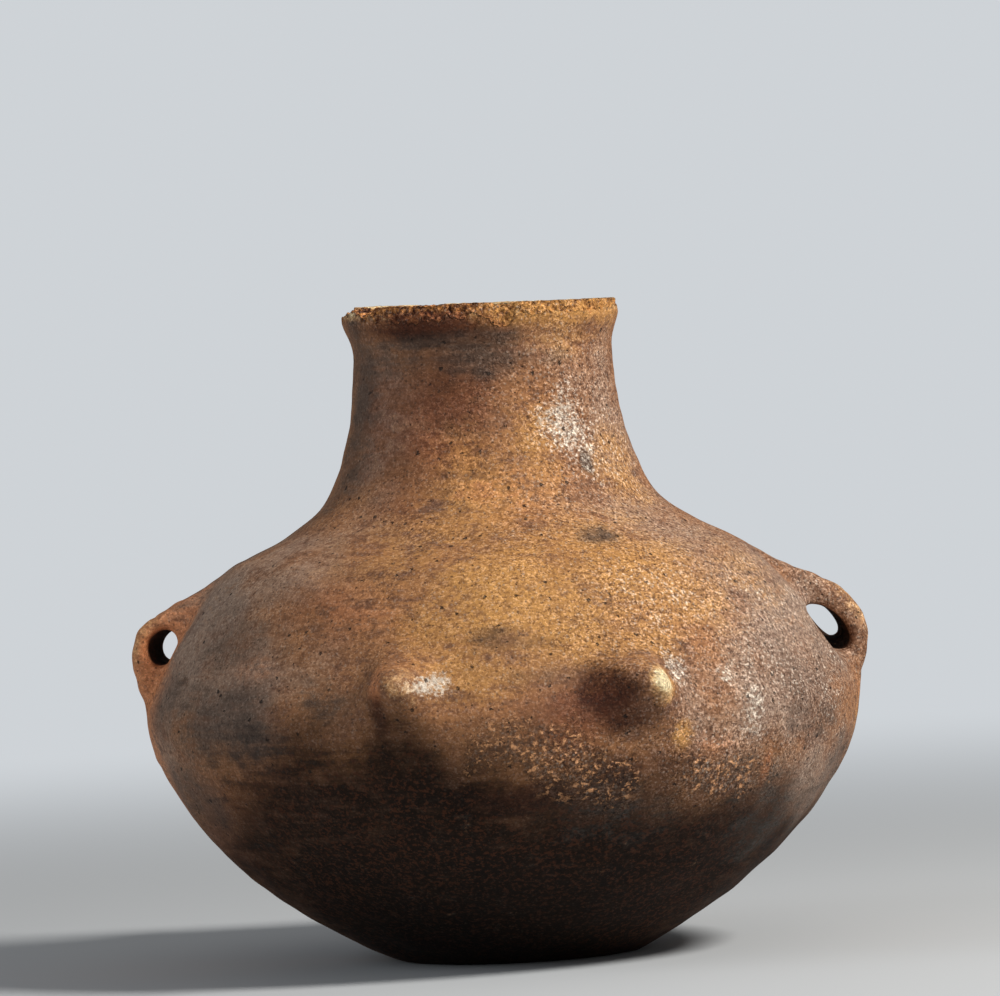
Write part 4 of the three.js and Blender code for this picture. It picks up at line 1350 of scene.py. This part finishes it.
class JAR_OT_stage(bpy.types.Operator):
    """Makes the pale floor, the soft light and the camera"""

    bl_idname = "jar.stage"
    bl_label = "Stage"

    def execute(self, context):
        scene = context.scene
        stage = scene.jar_stage
        self.lay_floor(scene, stage)
        self.light(scene, stage)
        self.place_camera(scene, stage)
        scene.view_settings.view_transform = "Standard"
        return {"FINISHED"}

    def lay_floor(self, scene, stage):
        rows = around_axis(turns_round(FLOOR_COLUMNS), np.array(STAGE_RADII)[:, None], -FLOOR_DROP)
        points = rows.reshape(-1, 3).tolist() + [(0, 0, -FLOOR_DROP)]
        middle = fan(len(points) - 1, np.arange(FLOOR_COLUMNS))
        quads = grid(len(STAGE_RADII), FLOOR_COLUMNS, closed=False)[:, ::-1]
        mesh = bpy.data.meshes.new("floor")
        mesh.from_pydata(points, [], middle.tolist() + quads.tolist())
        floor = bpy.data.objects.new("floor", mesh)
        scene.collection.objects.link(floor)
        material = bpy.data.materials.new("floor")
        material.use_nodes = True
        recipe = Recipe(material.node_tree)
        place = recipe.add("ShaderNodeTexCoord", output="Object")
        off = recipe.add("ShaderNodeVectorMath", {"operation": "LENGTH"}, {0: place}, "Value")
        seen = recipe.add("ShaderNodeLightPath", output="Is Camera Ray")
        paint = recipe.add("ShaderNodeBsdfDiffuse", {}, {"Color": rgba(stage.floor)})
        haze = recipe.add("ShaderNodeEmission", {}, {"Color": rgba(stage.backdrop), "Strength": 1.0})
        far = recipe.ramp(off, 0.30, 1.60) * seen
        recipe.finish(recipe.add("ShaderNodeMixShader", {}, {0: far, 1: paint, 2: haze}))
        mesh.materials.append(material)

    def light(self, scene, stage):
        world = bpy.data.worlds.new("studio")
        scene.world = world
        world.use_nodes = True
        recipe = Recipe(world.node_tree)
        seen = recipe.add("ShaderNodeLightPath", output="Is Camera Ray")
        glow = recipe.add("ShaderNodeBackground", {}, {"Color": (1, 1, 1, 1), "Strength": stage.fill})
        backdrop = recipe.add("ShaderNodeBackground", {}, {"Color": rgba(stage.backdrop), "Strength": 1.0})
        mixed = recipe.add("ShaderNodeMixShader", {}, {0: seen, 1: glow, 2: backdrop})
        recipe.finish(mixed, "ShaderNodeOutputWorld")
        for name, shade in (("key", (1.0, 0.97, 0.92)), ("side", (0.88, 0.94, 1.0))):
            level, azimuth, elevation, size = (
                getattr(stage, name + end) for end in ("", "_azimuth", "_elevation", "_size")
            )
            data = bpy.data.lights.new(name, "AREA")
            data.shape = "DISK"
            data.size = size
            data.energy = math.pi**2 * level * stage.lamp_distance**2
            data.color = shade
            lamp = bpy.data.objects.new(name, data)
            middle = Vector((0, 0, LAMP_TARGET_HEIGHT))
            side = around_axis(azimuth, math.cos(elevation), math.sin(elevation))
            lamp.location = middle + Vector(side) * stage.lamp_distance
            aim(lamp, middle)
            scene.collection.objects.link(lamp)

    def place_camera(self, scene, stage):
        data = bpy.data.cameras.new("camera")
        data.sensor_width = 36
        data.lens = stage.lens
        camera = bpy.data.objects.new("camera", data)
        camera.location = (CAMERA_OFFSET, -stage.camera_distance, stage.camera_height)
        turned = Matrix.Rotation(math.pi / 2 - stage.camera_pitch, 4, "X")
        rolled = Matrix.Rotation(-stage.camera_roll, 4, "Z")
        camera.rotation_euler = (turned @ rolled).to_euler()
        scene.collection.objects.link(camera)
        scene.camera = camera


class JAR_PT_panel(bpy.types.Panel):
    """Lists the jar's values and the operators that make its pieces"""

    bl_label = "Terracotta jar"
    bl_idname = "JAR_PT_panel"
    bl_space_type = "VIEW_3D"
    bl_region_type = "UI"
    bl_category = "Jar"

    def draw(self, context):
        layout = self.layout
        for group in PROPERTY_GROUPS:
            values = getattr(context.scene, group)
            box = layout.box()
            box.label(text=group.replace("_", " ").capitalize())
            for name in values.__annotations__:
                box.prop(values, name)
        for operator in OPERATORS:
            layout.operator(operator.bl_idname)


PROPERTY_GROUPS = {
    "jar_body": JarBody,
    "jar_lugs": JarLugs,
    "jar_knobs": JarKnobs,
    "jar_clay": JarClay,
    "jar_stage": JarStage,
}
OPERATORS = (
    JAR_OT_base_disc,
    JAR_OT_courses,
    JAR_OT_rim,
    JAR_OT_lugs,
    JAR_OT_knobs,
    JAR_OT_stage,
)


def register():
    for kind in (*PROPERTY_GROUPS.values(), *OPERATORS, JAR_PT_panel):
        bpy.utils.register_class(kind)
    for name, group in PROPERTY_GROUPS.items():
        setattr(bpy.types.Scene, name, bpy.props.PointerProperty(type=group))


def unregister():
    for name in PROPERTY_GROUPS:
        delattr(bpy.types.Scene, name)
    for kind in (JAR_PT_panel, *reversed(OPERATORS), *reversed(list(PROPERTY_GROUPS.values()))):
        bpy.utils.unregister_class(kind)


def main():
    register()
    bpy.ops.jar.base_disc()
    bpy.ops.jar.courses()
    bpy.ops.jar.rim()
    bpy.ops.jar.lugs()
    bpy.ops.jar.knobs()
    bpy.ops.jar.stage()


if __name__ == "__main__":
    main()
